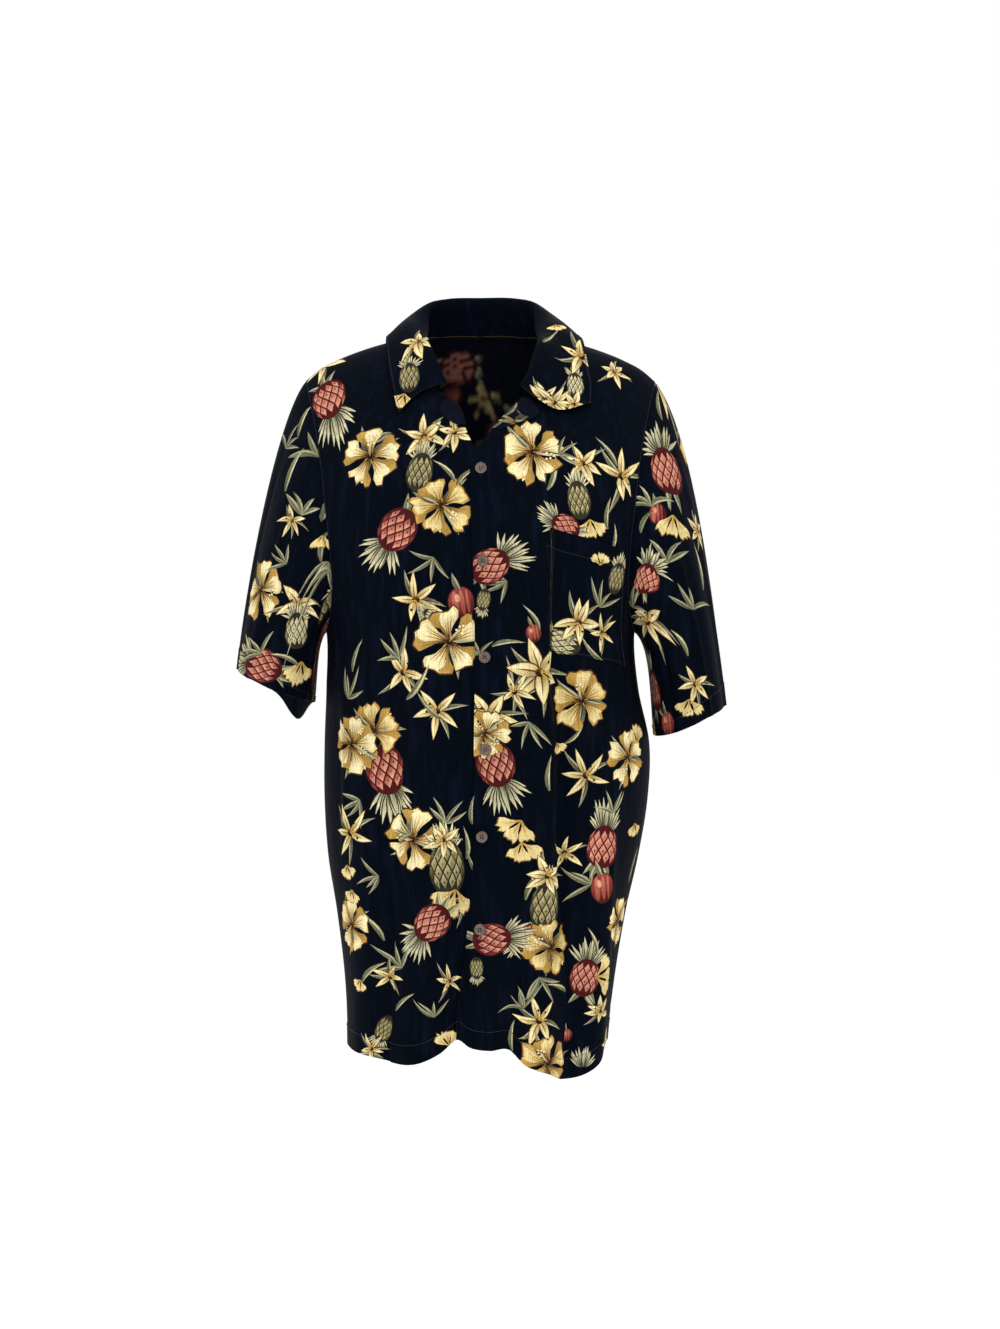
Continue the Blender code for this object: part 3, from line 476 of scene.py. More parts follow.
def lily(size, seed, count=6, half=0.19, gold=False):
    chance = np.random.default_rng(seed)
    deep, light = ("ochre", "gold") if gold else ("ochre", "cream")
    dabs = []
    for angle in (chance.uniform(10, 80), chance.uniform(140, 200), chance.uniform(250, 320)):
        dabs += turned(leafDabs(size * chance.uniform(1.1, 1.5), size * 0.11, size * 0.35, "moss", "sage"),
                       math.radians(angle))
    order = list(range(0, count, 2)) + list(range(1, count, 2))
    for number in order:
        long = size * chance.uniform(0.80, 1.20)
        wide = size * half * chance.uniform(0.80, 1.15)
        bend = size * chance.uniform(-0.30, 0.30)
        one = [dab(blade(long * 1.04, wide * 1.2, bend), "umber", "brown", (0, 0), (0, long)),
               dab(blade(long, wide, bend), deep, light, (0, 0), (0, long * 0.6)),
               dab(blade(long * 0.92, wide * 0.86, bend * 0.92, side=1), "gold", "pale", (0, 0),
                   (0, long * 0.6)),
               dab(blade(long * 0.74, wide * 0.13, bend * 0.74, 5), "brown", "ochre", (0, 0), (0, long))]
        dabs += turned(one, math.radians(360 / count * number + chance.uniform(-10, 10)))
    spots = np.linspace(0, 2 * math.pi, 8, endpoint=False)
    heart = np.stack([np.cos(spots), np.sin(spots)], axis=1) * size * 0.15
    dabs.append(dab(heart, "umber", "ochre", (0, 0), (0, size * 0.18)))
    for angle in (25, -20, 70):
        dabs += turned([dab(blade(size * 0.42, size * 0.03, 0, 4), "brown", "gold"),
                        dab(heart * 0.36 + (0, size * 0.42), "brown", "umber")],
                       math.radians(angle + seed * 40))
    return dabs


def crown(size, seed, pale=False):
    chance = np.random.default_rng(seed)
    dabs = []
    for angle in (-88, 86, -70, 70, -54, 52, -38, 38, -24, 22, -10, 11, 0):
        long = size * chance.uniform(0.72, 1.02) * (0.78 + 0.22 * math.cos(math.radians(angle)))
        bend = -size * 0.22 * math.sin(math.radians(angle)) + chance.uniform(-0.06, 0.06) * size
        one = [dab(blade(long, size * 0.095, bend), "umber", "moss"),
               dab(blade(long * 0.97, size * 0.062, bend), "leaf" if not pale else "olive", "ivory",
                   (0, long * 0.1), (0, long * 0.8)),
               dab(blade(long * 0.94, size * 0.055, bend, 5, side=1), "sage", "pale" if pale else "ivory",
                   (0, 0), (0, long * 0.9))]
        dabs += turned(one, -math.radians(angle * 0.95))
    return dabs


def fruitNet(size, wide, dark, mid, light):
    # scales in staggered rows round an egg shape
    spots = np.linspace(0, 2 * math.pi, 24, endpoint=False)
    high = size / 2
    body = np.stack([np.cos(spots) * wide / 2 * (1 - 0.08 * np.sin(spots)), np.sin(spots) * high], axis=1)
    dabs = [dab(body, dark, dark)]
    rows, half = 6, size * 0.098
    for row in range(rows):
        y = high * (-0.80 + 1.60 * row / (rows - 1))
        for step in range(-3, 4):
            angle = math.radians(31 * step + (15.5 if row % 2 else 0))
            corners = []
            for da, dy in ((0, 1), (0.86, 0), (0, -1), (-0.86, 0)):
                a = angle + da * math.radians(14.5)
                py = y + dy * half * 1.35
                if abs(a) > 1.30 or abs(py) > high * 0.97:
                    corners = []
                    break
                px = wide / 2 * math.sqrt(1 - (py / high) ** 2) * math.sin(a) * 1.02
                corners.append((px, py))
            if corners:
                middle = np.mean(corners, axis=0)
                edge = math.cos(angle)
                near, far = (mid, light) if edge > 0.55 else (dark, mid)
                dabs.append(dab(corners, near, far, middle + (half * 0.7, -half * 0.6),
                                middle + (-half * 0.5, half * 0.6)))
                eye = (np.array(corners) - middle) * 0.26 + middle - (0, half * 0.2)
                dabs.append(dab(eye, dark, mid))
    return dabs


def pineapple(size, seed):
    size = size * 1.10
    chance = np.random.default_rng(seed)
    dabs = []
    for angle in (155, 205, chance.uniform(120, 240)):
        dabs += turned(leafDabs(size * 0.62, size * 0.08, size * chance.uniform(-0.2, 0.2)),
                       math.radians(angle), (0, -size * 0.22))
    top = turned(crown(size * 0.80, seed), 0.0, (0, size * 0.38))
    return dabs + top + fruitNet(size, size * 0.84, "wine", "rose" if seed % 3 == 0 else "salmon", "blush")


def budPine(size, seed):
    leaves = turned(crown(size * 0.62, seed, True), 0.0, (0, size * 0.36))
    return leaves + fruitNet(size * 1.12, size * 0.70, "moss", "olive" if seed % 2 else "khaki",
                             "khaki" if seed % 2 else "ivory")


def plum(size, seed):
    spots = np.linspace(0, 2 * math.pi, 20, endpoint=False)
    skin = np.stack([np.cos(spots) * 0.42, np.sin(spots) * 0.5], axis=1) * size
    dabs = [dab(skin * 1.05, "umber", "wine"), dab(skin, "wine", "rose", (0, -size * 0.4),
                                                   (-size * 0.1, size * 0.3))]
    for x, wide in ((-0.20, 0.10), (0.02, 0.08), (0.20, 0.05)):
        stripe = np.stack([np.cos(spots) * wide, np.sin(spots) * 0.40], axis=1) * size + (x * size, 0)
        dabs.append(dab(stripe, "rose", "salmon", (0, -size * 0.4), (0, size * 0.3)))
    dabs.append(dab(skin * (0.20, 0.26) + (-size * 0.12, size * 0.16), "salmon", "blush"))
    return dabs + turned(leafDabs(size * 0.6, size * 0.10, size * 0.15), 0.5, (0, size * 0.4))


def spray(size, seed):
    chance = np.random.default_rng(seed)
    dabs = []
    for angle in (-62, -24, 14, 50):
        long = size * chance.uniform(0.9, 1.5)
        one = leafDabs(long, size * 0.10, chance.uniform(-0.45, 0.45) * size)
        dabs += turned(one, math.radians(angle + chance.uniform(-8, 8)), (0, -size * 0.4))
    return dabs


def crescent(size, seed):
    bend = size * (0.55 if seed % 2 else -0.55)
    return turned(leafDabs(size * 1.25, size * 0.11, bend, "leaf", "sage", "pale"), 0.0, (0, -size * 0.6))


def yellowPetals(size, seed):
    chance = np.random.default_rng(seed)
    dabs = []
    for angle in (-48, 44, -4):
        edge = petalOutline(size * chance.uniform(0.85, 1.05), size * 0.30, chance, 0.04)
        one = [dab(edge * 1.06, "brown", "ochre"), dab(edge, "gold", "cream", (0, 0), (0, size * 0.7)),
               dab(blade(size * 0.72, size * 0.03, 0, 4), "ochre", "gold")]
        dabs += turned(one, math.radians(angle), (0, -size * 0.4))
    return dabs


def orchid(size, seed):
    return lily(size, seed, 5, 0.15)


def goldBloom(size, seed):
    return hibiscus(size, seed, True)


motifs = {"hibiscus": hibiscus, "gold": goldBloom, "lily": lily, "orchid": orchid, "pineapple": pineapple,
          "budPine": budPine, "plum": plum, "spray": spray, "crescent": crescent, "crown": crown,
          "petals": yellowPetals}


# laying the print on a sheet; the plain settings are for what lies behind, in square mm and in stretch
printing = {"scale": 1.16, "plainStroke": 8, "plainStretch": 1.7, "pointGap": 0.00008, "joinMm": 0.004}


def seenFrom(points):
    share = (frontPlane - cameraSpot[1]) / (points[..., 1] - cameraSpot[1])
    x = cameraSpot[0] + (points[..., 0] - cameraSpot[0]) * share
    z = cameraSpot[2] + (points[..., 2] - cameraSpot[2]) * share
    return np.stack([x, z], axis=-1)


def findSpot(sheet, x, z, view):
    # the place on the sheet that lands on x, z in the view
    if view not in sheet["seen"]:
        (lowU, highU), (lowV, highV) = sheet["findU"], sheet["findV"]
        u, v = np.meshgrid(np.linspace(lowU, highU, 150), np.linspace(lowV, highV, 300))
        sheet["seen"][view] = (u, v, view(sheet["at"](u, v)))
    u, v, seen = sheet["seen"][view]
    gap = (seen[..., 0] - x) ** 2 + (seen[..., 1] - z) ** 2
    best = np.unravel_index(np.argmin(gap), gap.shape)
    return float(u[best]), float(v[best])


def localFrame(sheet, u, v):
    # how a step of a mm across and up the cloth moves the chart place
    step = 0.004
    across = (sheet["at"](u + step, v) - sheet["at"](u - step, v)) / (2 * step)
    upward = (sheet["at"](u, v + step) - sheet["at"](u, v - step)) / (2 * step)
    normal = np.cross(across, upward) * sheet["flip"]
    normal /= np.linalg.norm(normal)
    up = np.array(sheet.get("up", (0.0, 0.0, 1.0)))
    up = up - normal * np.dot(up, normal)
    up /= np.linalg.norm(up)
    right = np.cross(up, normal)
    return np.linalg.inv(np.array([[across @ right, upward @ right], [across @ up, upward @ up]]))


def layPrint(sheet, rows, view):
    # rows of kind, x mm, z mm, size mm and turn in degrees, painted in this order
    laid = []
    for number, (kind, x, z, size, angle) in enumerate(rows):
        u, v = findSpot(sheet, x / 1000, z / 1000, view)
        laid += layAt(sheet, kind, u, v, size, angle, number)
    return laid


def layAt(sheet, kind, u, v, size, angle, seed, least=0.0):
    # least leaves out strokes smaller than so many square mm and draws the rest more plainly
    stretch = localFrame(sheet, u, v)
    if least and np.linalg.norm(stretch, 2) > printing["plainStretch"]:
        return []
    toChart = stretch.T / 1000
    laid = []
    for one in turned(motifs[kind](size * printing["scale"], seed), math.radians(angle)):
        x, z = one["points"].T
        if abs(np.sum(x * np.roll(z, -1) - np.roll(x, -1) * z)) / 2 < least:
            continue
        outline = one["points"][::2] if least and len(x) > 9 else one["points"]
        spot = np.array([u, v])
        laid.append(dict(one, points=outline @ toChart + spot,
                         start=one["start"] @ toChart + spot, end=one["end"] @ toChart + spot))
    return laid


def paintColours(places, top, laid):
    # colour of each corner of each triangle from the dab on top of it
    colours = np.tile(navy, (len(places), 3, 1))
    order = np.argsort(top, kind="stable")
    cuts = np.searchsorted(top[order], np.arange(len(laid) + 1))
    for number, one in enumerate(laid):
        chosen = order[cuts[number]:cuts[number + 1]]
        if len(chosen) == 0:
            continue
        run = one["end"] - one["start"]
        share = np.clip(((places[chosen] - one["start"]) @ run) / max(run @ run, 1e-12), 0, 1)[..., None]
        colours[chosen] = one["near"] * (1 - share) + one["far"] * share
    return colours


def tidyLoop(points):
    # drop points that fall on each other
    keep = [points[0]]
    for point in points[1:]:
        if np.linalg.norm(point - keep[-1]) > printing["pointGap"]:
            keep.append(point)
    if np.linalg.norm(keep[0] - keep[-1]) < printing["pointGap"]:
        keep.pop()
    return np.array(keep)


def evenGrid(outline, space):
    # staggered points that fill the outline
    low, high = outline.min(axis=0), outline.max(axis=0)
    grid = []
    for number, row in enumerate(np.arange(low[1] + space * 0.5, high[1], space * 0.866)):
        line = np.arange(low[0] + space * (0.5 if number % 2 else 1.0), high[0], space)
        grid.append(np.stack([line, np.full(len(line), row)], axis=1))
    grid = np.concatenate(grid)
    grid = grid[inside(grid, outline)]
    return grid[nearest(grid, outline) > space * 0.45]


def cutOut(points, edges, grid, outline):
    # triangles over the outline, with every given edge kept
    flat = [Vector(point) for point in np.concatenate([points, grid]) * 1000]
    places, _, triangles, _, _, _ = delaunay_2d_cdt(flat, edges, [], 0, printing["joinMm"], False)
    places = np.array([tuple(place) for place in places]) / 1000
    triangles = np.array(triangles)
    kept = inside(places[triangles].mean(axis=1), outline)
    used, triangles = np.unique(triangles[kept], return_inverse=True)
    return places[used], triangles.reshape(-1, 3)


def ring(start, count):
    return [(start + i, start + (i + 1) % count) for i in range(count)]


def shownEdges(triangles, top):
    # the edges where the colour changes or the cloth ends, without those that a later dab covers
    sides = {}
    for number, (a, b, c) in enumerate(triangles.tolist()):
        for edge in ((a, b), (b, c), (c, a)):
            sides.setdefault(tuple(sorted(edge)), []).append(top[number])
    return [edge for edge, tops in sides.items() if len(tops) == 1 or tops[0] != tops[1]]


def clearOf(grid, points, space):
    # drop grid points that share a small cell with a point of the print
    cells = set(map(tuple, np.floor(points / space).astype(int).tolist()))
    keep = [tuple(cell) not in cells for cell in np.floor(grid / space).astype(int).tolist()]
    return grid[np.array(keep)]


def rimLoop(triangles):
    # corners round the cut edge, in order
    sides = {(a, b) for one in triangles.tolist() for a, b in zip(one, one[1:] + one[:1])}
    following = {a: b for a, b in sorted(sides) if (b, a) not in sides}
    start = min(following)
    loop = [start]
    while following[loop[-1]] != start and len(loop) < len(following):
        loop.append(following[loop[-1]])
    return np.array(loop)


def backColours(places, triangles, laid):
    # the print as it shows through on the wrong side: one colour at each corner
    top = topDab(places, laid)
    tone = np.tile(navy, (len(places), 1))
    for number in np.unique(top[top >= 0]):
        tone[top == number] = (laid[number]["near"] + laid[number]["far"]) / 2
    return tone[triangles]


def topDab(middles, laid):
    # number of the last painted dab over each place, or -1 for bare cloth
    top = np.full(len(middles), -1)
    order = np.argsort(middles[:, 0])
    across = middles[order, 0]
    for number, one in enumerate(laid):
        low, high = one["points"].min(axis=0), one["points"].max(axis=0)
        near = order[np.searchsorted(across, low[0]):np.searchsorted(across, high[0])]
        near = near[(middles[near, 1] >= low[1]) & (middles[near, 1] <= high[1])]
        if len(near):
            top[near[inside(middles[near], one["points"])]] = number
    return top


def buildCloth(name, sheet, runs, laid, space, wall, materials, hem=None, dip=None):
    # cut the outline and the print out of the chart, fill it with even triangles, give it thickness
    outline, owner = outlineOf(runs, space * 0.8)
    area = np.sum(outline[:, 0] * np.roll(outline[:, 1], -1) - np.roll(outline[:, 0], -1) * outline[:, 1])
    if area < 0:
        outline, owner = outline[::-1], owner[::-1]
    grid = evenGrid(outline, space)
    low, high = outline.min(axis=0), outline.max(axis=0)
    laid = [one for one in laid if np.all(one["points"].max(axis=0) > low)
            and np.all(one["points"].min(axis=0) < high)]
    loops = [outline] + [tidyLoop(one["points"]) for one in laid]
    starts = np.cumsum([0] + [len(loop) for loop in loops])
    edges = [edge for start, loop in zip(starts, loops) for edge in ring(int(start), len(loop))]
    places, triangles = cutOut(np.concatenate(loops), edges, grid[:0], outline)
    edges = shownEdges(triangles, topDab(places[triangles].mean(axis=1), laid))
    trueOutline = places[rimLoop(triangles)]
    shown, edges = np.unique(np.array(edges), return_inverse=True)
    places = places[shown]
    places, triangles = cutOut(places, edges.reshape(-1, 2).tolist(), clearOf(grid, places, space * 0.6),
                               trueOutline)
    top = topDab(places[triangles].mean(axis=1), laid)
    colours = paintColours(places[triangles], top, laid)
    rim = rimLoop(triangles)
    backPlaces, backTriangles = cutOut(places[rim], ring(0, len(rim)), evenGrid(places[rim], space * 1.6),
                                       places[rim])
    backTone = backColours(backPlaces, backTriangles, laid)
    count = len(places)
    triangles = triangles if sheet["flip"] > 0 else triangles[:, ::-1]
    colours = colours if sheet["flip"] > 0 else colours[:, ::-1]
    if sheet["flip"] > 0:
        backTriangles, backTone = backTriangles[:, ::-1], backTone[:, ::-1]
    places = np.concatenate([places, backPlaces])
    u, v = places[:, 0], places[:, 1]
    spots = sheet["at"](u, v)
    normals = normalsOf(sheet["at"], u, v, sheet["flip"])
    thick = np.full(len(places), wall)
    if hem:
        gap = nearest(places, np.concatenate([outline[owner == number] for number in hem["runs"]]))
        thick = thick + (hem["wall"] - wall) * softStep(gap, hem["deep"], hem["deep"] - 0.0012)
    if dip:
        gap = nearest(places, np.concatenate([outline[owner == number] for number in dip["runs"]]))
        spots = spots - normals * (dip["deep"] * softStep(gap, dip["wide"], 0.0))[:, None]
    face = np.where(np.arange(len(places)) < count, 1.0, -1.0)[:, None]
    spots = spots + normals * face * (thick / 2)[:, None]
    backTriangles = backTriangles + count
    inner = np.array([np.argmin(np.sum((backPlaces - spot) ** 2, axis=1)) for spot in places[rim]]) + count
    quads = np.stack([rim, inner, np.roll(inner, -1), np.roll(rim, -1)], axis=1)
    if sheet["flip"] < 0:
        quads = quads[:, ::-1]
    rimTone = np.tile(backTone.reshape(-1, 3).mean(axis=0), (len(quads) * 4, 1))
    mesh = bpy.data.meshes.new(name)
    allFaces = triangles.tolist() + backTriangles.tolist() + quads.tolist()
    mesh.from_pydata(spots.tolist(), [], allFaces)
    corner = np.concatenate([colours.reshape(-1, 3), backTone.reshape(-1, 3), rimTone])
    layer = mesh.color_attributes.new("print", "FLOAT_COLOR", "CORNER")
    layer.data.foreach_set("color", np.concatenate([corner, np.ones((len(corner), 1))], axis=1).ravel())
    chart = mesh.uv_layers.new(name="chart")
    loops = np.concatenate([triangles.ravel(), backTriangles.ravel(), quads.ravel()])
    chart.data.foreach_set("uv", places[loops].ravel())
    mesh.polygons.foreach_set("use_smooth", np.ones(len(allFaces), bool))
    slots = np.concatenate([np.zeros(len(triangles)), np.ones(len(backTriangles)), np.zeros(len(quads))])
    for material in materials:
        mesh.materials.append(material)
    mesh.polygons.foreach_set("material_index", slots.astype(int))
    mesh.normals_split_custom_set_from_vertices((normals * face).tolist())
    mesh.update()
    cloth = addObject(name, mesh)
    print(name, len(triangles) + len(backTriangles) + len(quads) * 2, "triangles")
    return cloth


# the print as it shows from the front: kind, sideways mm, height mm, size mm and turn in degrees
rightPrint = [
    ("lily", -166, -21, 22, 20), ("pineapple", -160, -56, 40, -144), ("spray", -97, -100, 18, 150),
    ("hibiscus", -116, -116, 28, 10), ("lily", -58, -96, 21, 15), ("budPine", -64, -135, 34, -5),
    ("pineapple", -87, -194, 38, 142), ("gold", -41, -170, 28, 20), ("spray", -52, -232, 20, 160),
    ("lily", -26, -93, 16, 0), ("crescent", -32, -131, 22, 20), ("crescent", -19, -135, 20, -25),
    ("orchid", -68, -268, 24, 10), ("plum", -20, -271, 28, 10), ("budPine", -48, -285, 18, 60),
    ("hibiscus", -32, -311, 29, 8), ("orchid", -80, -343, 22, -20), ("spray", -92, -320, 22, 30),
    ("crescent", -63, -362, 30, -60), ("orchid", -46, -385, 22, 25), ("spray", -130, -486, 22, 140),
    ("pineapple", -100, -446, 42, -164), ("gold", -111, -404, 25, 20), ("hibiscus", -134, -420, 27, -10),
    ("orchid", -136, -511, 24, 20), ("hibiscus", -70, -520, 27, -12), ("spray", -36, -494, 20, -5),
    ("budPine", -34, -549, 46, 4), ("spray", -19, -588, 20, 170), ("lily", -38, -518, 17, 0),
    ("petals", -27, -583, 26, 170), ("pineapple", -50, -606, 34, 133), ("spray", -88, -646, 24, 40),
    ("orchid", -94, -663, 16, 60), ("crescent", -108, -609, 26, 20), ("crescent", -118, -654, 24, -30),
    ("hibiscus", -134, -609, 25, 0), ("budPine", -99, -717, 24, 150), ("orchid", -32, -667, 14, 10),
    ("petals", -35, -730, 16, 20), ("crescent", -113, -742, 20, 60), ("crescent", -13, -490, 20, 20),
    ("crescent", -10, -525, 22, -20), ("crescent", -10, -547, 20, 50), ("spray", -136, -362, 22, -20),
    ("petals", -138, -551, 14, 190), ("petals", -134, -578, 14, 170), ("crescent", -134, -326, 24, 0),
    ("spray", -79, -509, 16, 60), ("crescent", -52, -388, 20, 70), ("spray", -113, -562, 18, 120),
    ("petals", -126, -672, 12, 160), ("spray", -52, -698, 16, 20), ("crescent", -84, -688, 20, -30),
    ("orchid", -113, -738, 14, 30)]
leftPrint = [
    ("crescent", 81, -140, 26, -40), ("hibiscus", 55, -113, 29, 5), ("lily", 108, -123, 20, 10),
    ("budPine", 104, -163, 32, 5), ("petals", 116, -192, 20, 190), ("pineapple", 90, -192, 26, 60),
    ("orchid", 149, -138, 26, 5), ("crescent", 129, -178, 22, 15), ("crescent", 143, -203, 18, -30),
    ("spray", 21, -252, 18, 120), ("pineapple", 10, -233, 34, -58), ("budPine", 4, -266, 18, 170),
    ("spray", 42, -362, 24, -60), ("plum", 56, -304, 16, 10), ("crescent", 60, -285, 20, 10),
    ("lily", 64, -343, 30, 8), ("gold", 107, -373, 26, 10), ("orchid", 36, -364, 18, 40),
    ("pineapple", 17, -440, 38, -164), ("lily", 9, -390, 24, 20), ("hibiscus", 6, -408, 22, 60),
    ("petals", 38, -507, 22, 150), ("petals", 46, -532, 20, 190), ("crescent", 51, -562, 28, -10),
    ("orchid", 111, -452, 22, 20), ("petals", 81, -423, 12, 200), ("hibiscus", 154, -434, 24, 10),
    ("petals", 164, -410, 18, 10), ("spray", 109, -562, 22, 60), ("pineapple", 129, -527, 36, -4),
    ("plum", 129, -569, 28, 10), ("orchid", 89, -532, 18, 10), ("pineapple", 48, -622, 26, 110),
    ("budPine", 69, -591, 40, -3), ("lily", 71, -558, 18, 15), ("gold", 74, -631, 25, 10),
    ("pineapple", 12, -625, 32, -80), ("budPine", -4, -654, 18, 180), ("spray", 66, -672, 20, 200),
    ("crescent", 158, -547, 26, 10), ("hibiscus", 144, -606, 22, 10), ("pineapple", 110, -665, 32, -10),
    ("petals", 130, -662, 22, -80), ("orchid", 62, -709, 22, 15), ("gold", 71, -753, 24, 10),
    ("plum", 90, -726, 12, 0), ("lily", 126, -700, 14, 0), ("lily", 130, -732, 14, 40),
    ("crown", 108, -757, 20, 0), ("crescent", 29, -724, 22, 20), ("lily", 142, -28, 16, 60),
    ("spray", 89, -112, 16, -60), ("crescent", 139, -110, 24, 10), ("crescent", 26, -310, 22, -60),
    ("spray", 52, -404, 20, 170), ("crescent", 68, -452, 24, 20), ("spray", 139, -483, 18, 0),
    ("petals", 162, -509, 14, 190), ("petals", 160, -583, 14, 180), ("spray", 42, -688, 18, 30),
    ("crescent", 84, -672, 22, 50), ("petals", 139, -688, 14, 200), ("crescent", 124, -625, 20, 0),
    ("spray", -5, -320, 14, 40), ("crescent", 100, -415, 18, -70)]
pocketPrint = [
    ("spray", 127, -266, 20, -10), ("budPine", 143, -245, 26, -10), ("budPine", 84, -312, 32, 70),
    ("lily", 103, -291, 22, 15), ("orchid", 128, -302, 16, 20), ("crescent", 116, -326, 24, 70),
    ("petals", 126, -226, 12, 0)]
leftSleevePrint = [
    ("orchid", 169, -37, 20, 10), ("crescent", 184, -63, 24, 10), ("pineapple", 195, -131, 42, 4),
    ("plum", 186, -177, 20, 0), ("petals", 203, -189, 24, 170), ("spray", 173, -161, 20, 30),
    ("spray", 194, -218, 24, 10), ("pineapple", 174, -245, 26, -20), ("lily", 176, -291, 22, 20),
    ("petals", 149, -326, 14, 0), ("crescent", 233, -236, 34, -20), ("lily", 228, -194, 18, 10),
    ("pineapple", 183, -362, 36, 10), ("crown", 176, -331, 22, 0), ("plum", 197, -398, 22, 0),
    ("orchid", 226, -356, 18, 15), ("petals", 220, -379, 16, 180), ("crescent", 168, -184, 20, 0),
    ("petals", 168, -430, 16, 0), ("spray", 220, -268, 22, 20), ("crescent", 215, -310, 24, 10),
    ("crescent", 231, -121, 30, 5), ("spray", 160, -268, 18, -20)]
rightSleevePrint = [
    ("spray", -172, -108, 24, 20), ("crescent", -201, -131, 36, 10), ("spray", -185, -168, 24, -10),
    ("crescent", -170, -210, 26, 10), ("spray", -162, -236, 20, 160), ("budPine", -136, -268, 20, 0),
    ("pineapple", -156, -295, 34, -4), ("plum", -160, -331, 22, 0), ("hibiscus", -229, -257, 28, 10),
    ("lily", -191, -274, 20, 20), ("budPine", -192, -301, 30, 0), ("petals", -189, -343, 24, 180),
    ("pineapple", -227, -337, 34, 70), ("spray", -236, -318, 20, 40), ("crescent", -200, -326, 22, 40),
    ("crescent", -189, -79, 28, 15), ("spray", -200, -100, 20, -20), ("crescent", -152, -163, 26, 0),
    ("petals", -166, -205, 12, 180), ("orchid", -197, -184, 14, 0), ("spray", -210, -226, 18, 60),
    ("spray", -142, -226, 20, 0), ("lily", -147, -331, 14, 10)]
collarPrint = [
    ("petals", -81, -59, 18, 170), ("budPine", -75, -33, 28, 10), ("lily", -65, 3, 22, 20),
    ("petals", 81, 18, 12, 200), ("crescent", 59, 24, 22, 10), ("crescent", 69, 7, 20, -30),
    ("budPine", 100, -42, 24, -10), ("orchid", 106, -13, 26, 60), ("lily", 48, -51, 17, 10),
    ("lily", 78, -60, 17, 40), ("lily", 98, -63, 15, 80)]
facingPrint = [
    ("crescent", 35, -65, 24, -60), ("plum", 44, -78, 9, 0), ("orchid", 40, -89, 12, 0),
    ("crescent", 16, -102, 16, 60)]


# materials
finish = {"cloth": {"Specular IOR Level": 0.045, "Specular Tint": (0.55, 0.75, 1.0, 1.0),
                    "Sheen Weight": 0.004, "Sheen Roughness": 0.45},
          "thread": {"Roughness": 0.6}, "shell": {"Roughness": 0.30, "Coat Weight": 0.25},
          "floor": {"Roughness": 0.9, "Emission Color": (1.0, 1.0, 1.0, 1.0), "Emission Strength": 0.10}}


def setInputs(node, values):
    for label, value in values.items():
        node.inputs[label].default_value = value


def startMaterial(name, kind):
    material = bpy.data.materials.new(name)
    material.use_nodes = True
    nodes, links = material.node_tree.nodes, material.node_tree.links
    shader = nodes["Principled BSDF"]
    setInputs(shader, finish[kind])
    return material, nodes, links, shader, nodes.new("ShaderNodeTexCoord")


def addBump(nodes, links, height, strength, distance):
    bump = nodes.new("ShaderNodeBump")
    setInputs(bump, {"Strength": strength, "Distance": distance})
    links.new(height, bump.inputs["Height"])
    return bump


def noiseTones(nodes, links, shader, coords, grain, tones):
    # two tones, each a place on the ramp and a colour, spread by a noise
    noise = nodes.new("ShaderNodeTexNoise")
    setInputs(noise, grain)
    links.new(coords.outputs["Object"], noise.inputs["Vector"])
    ramp = nodes.new("ShaderNodeValToRGB")
    for element, (position, colour) in zip(ramp.color_ramp.elements, tones):
        element.position = position
        element.color = (*colour, 1.0)
    links.new(noise.outputs["Fac"], ramp.inputs["Fac"])
    links.new(ramp.outputs["Color"], shader.inputs["Base Color"])
    return noise.outputs["Fac"]


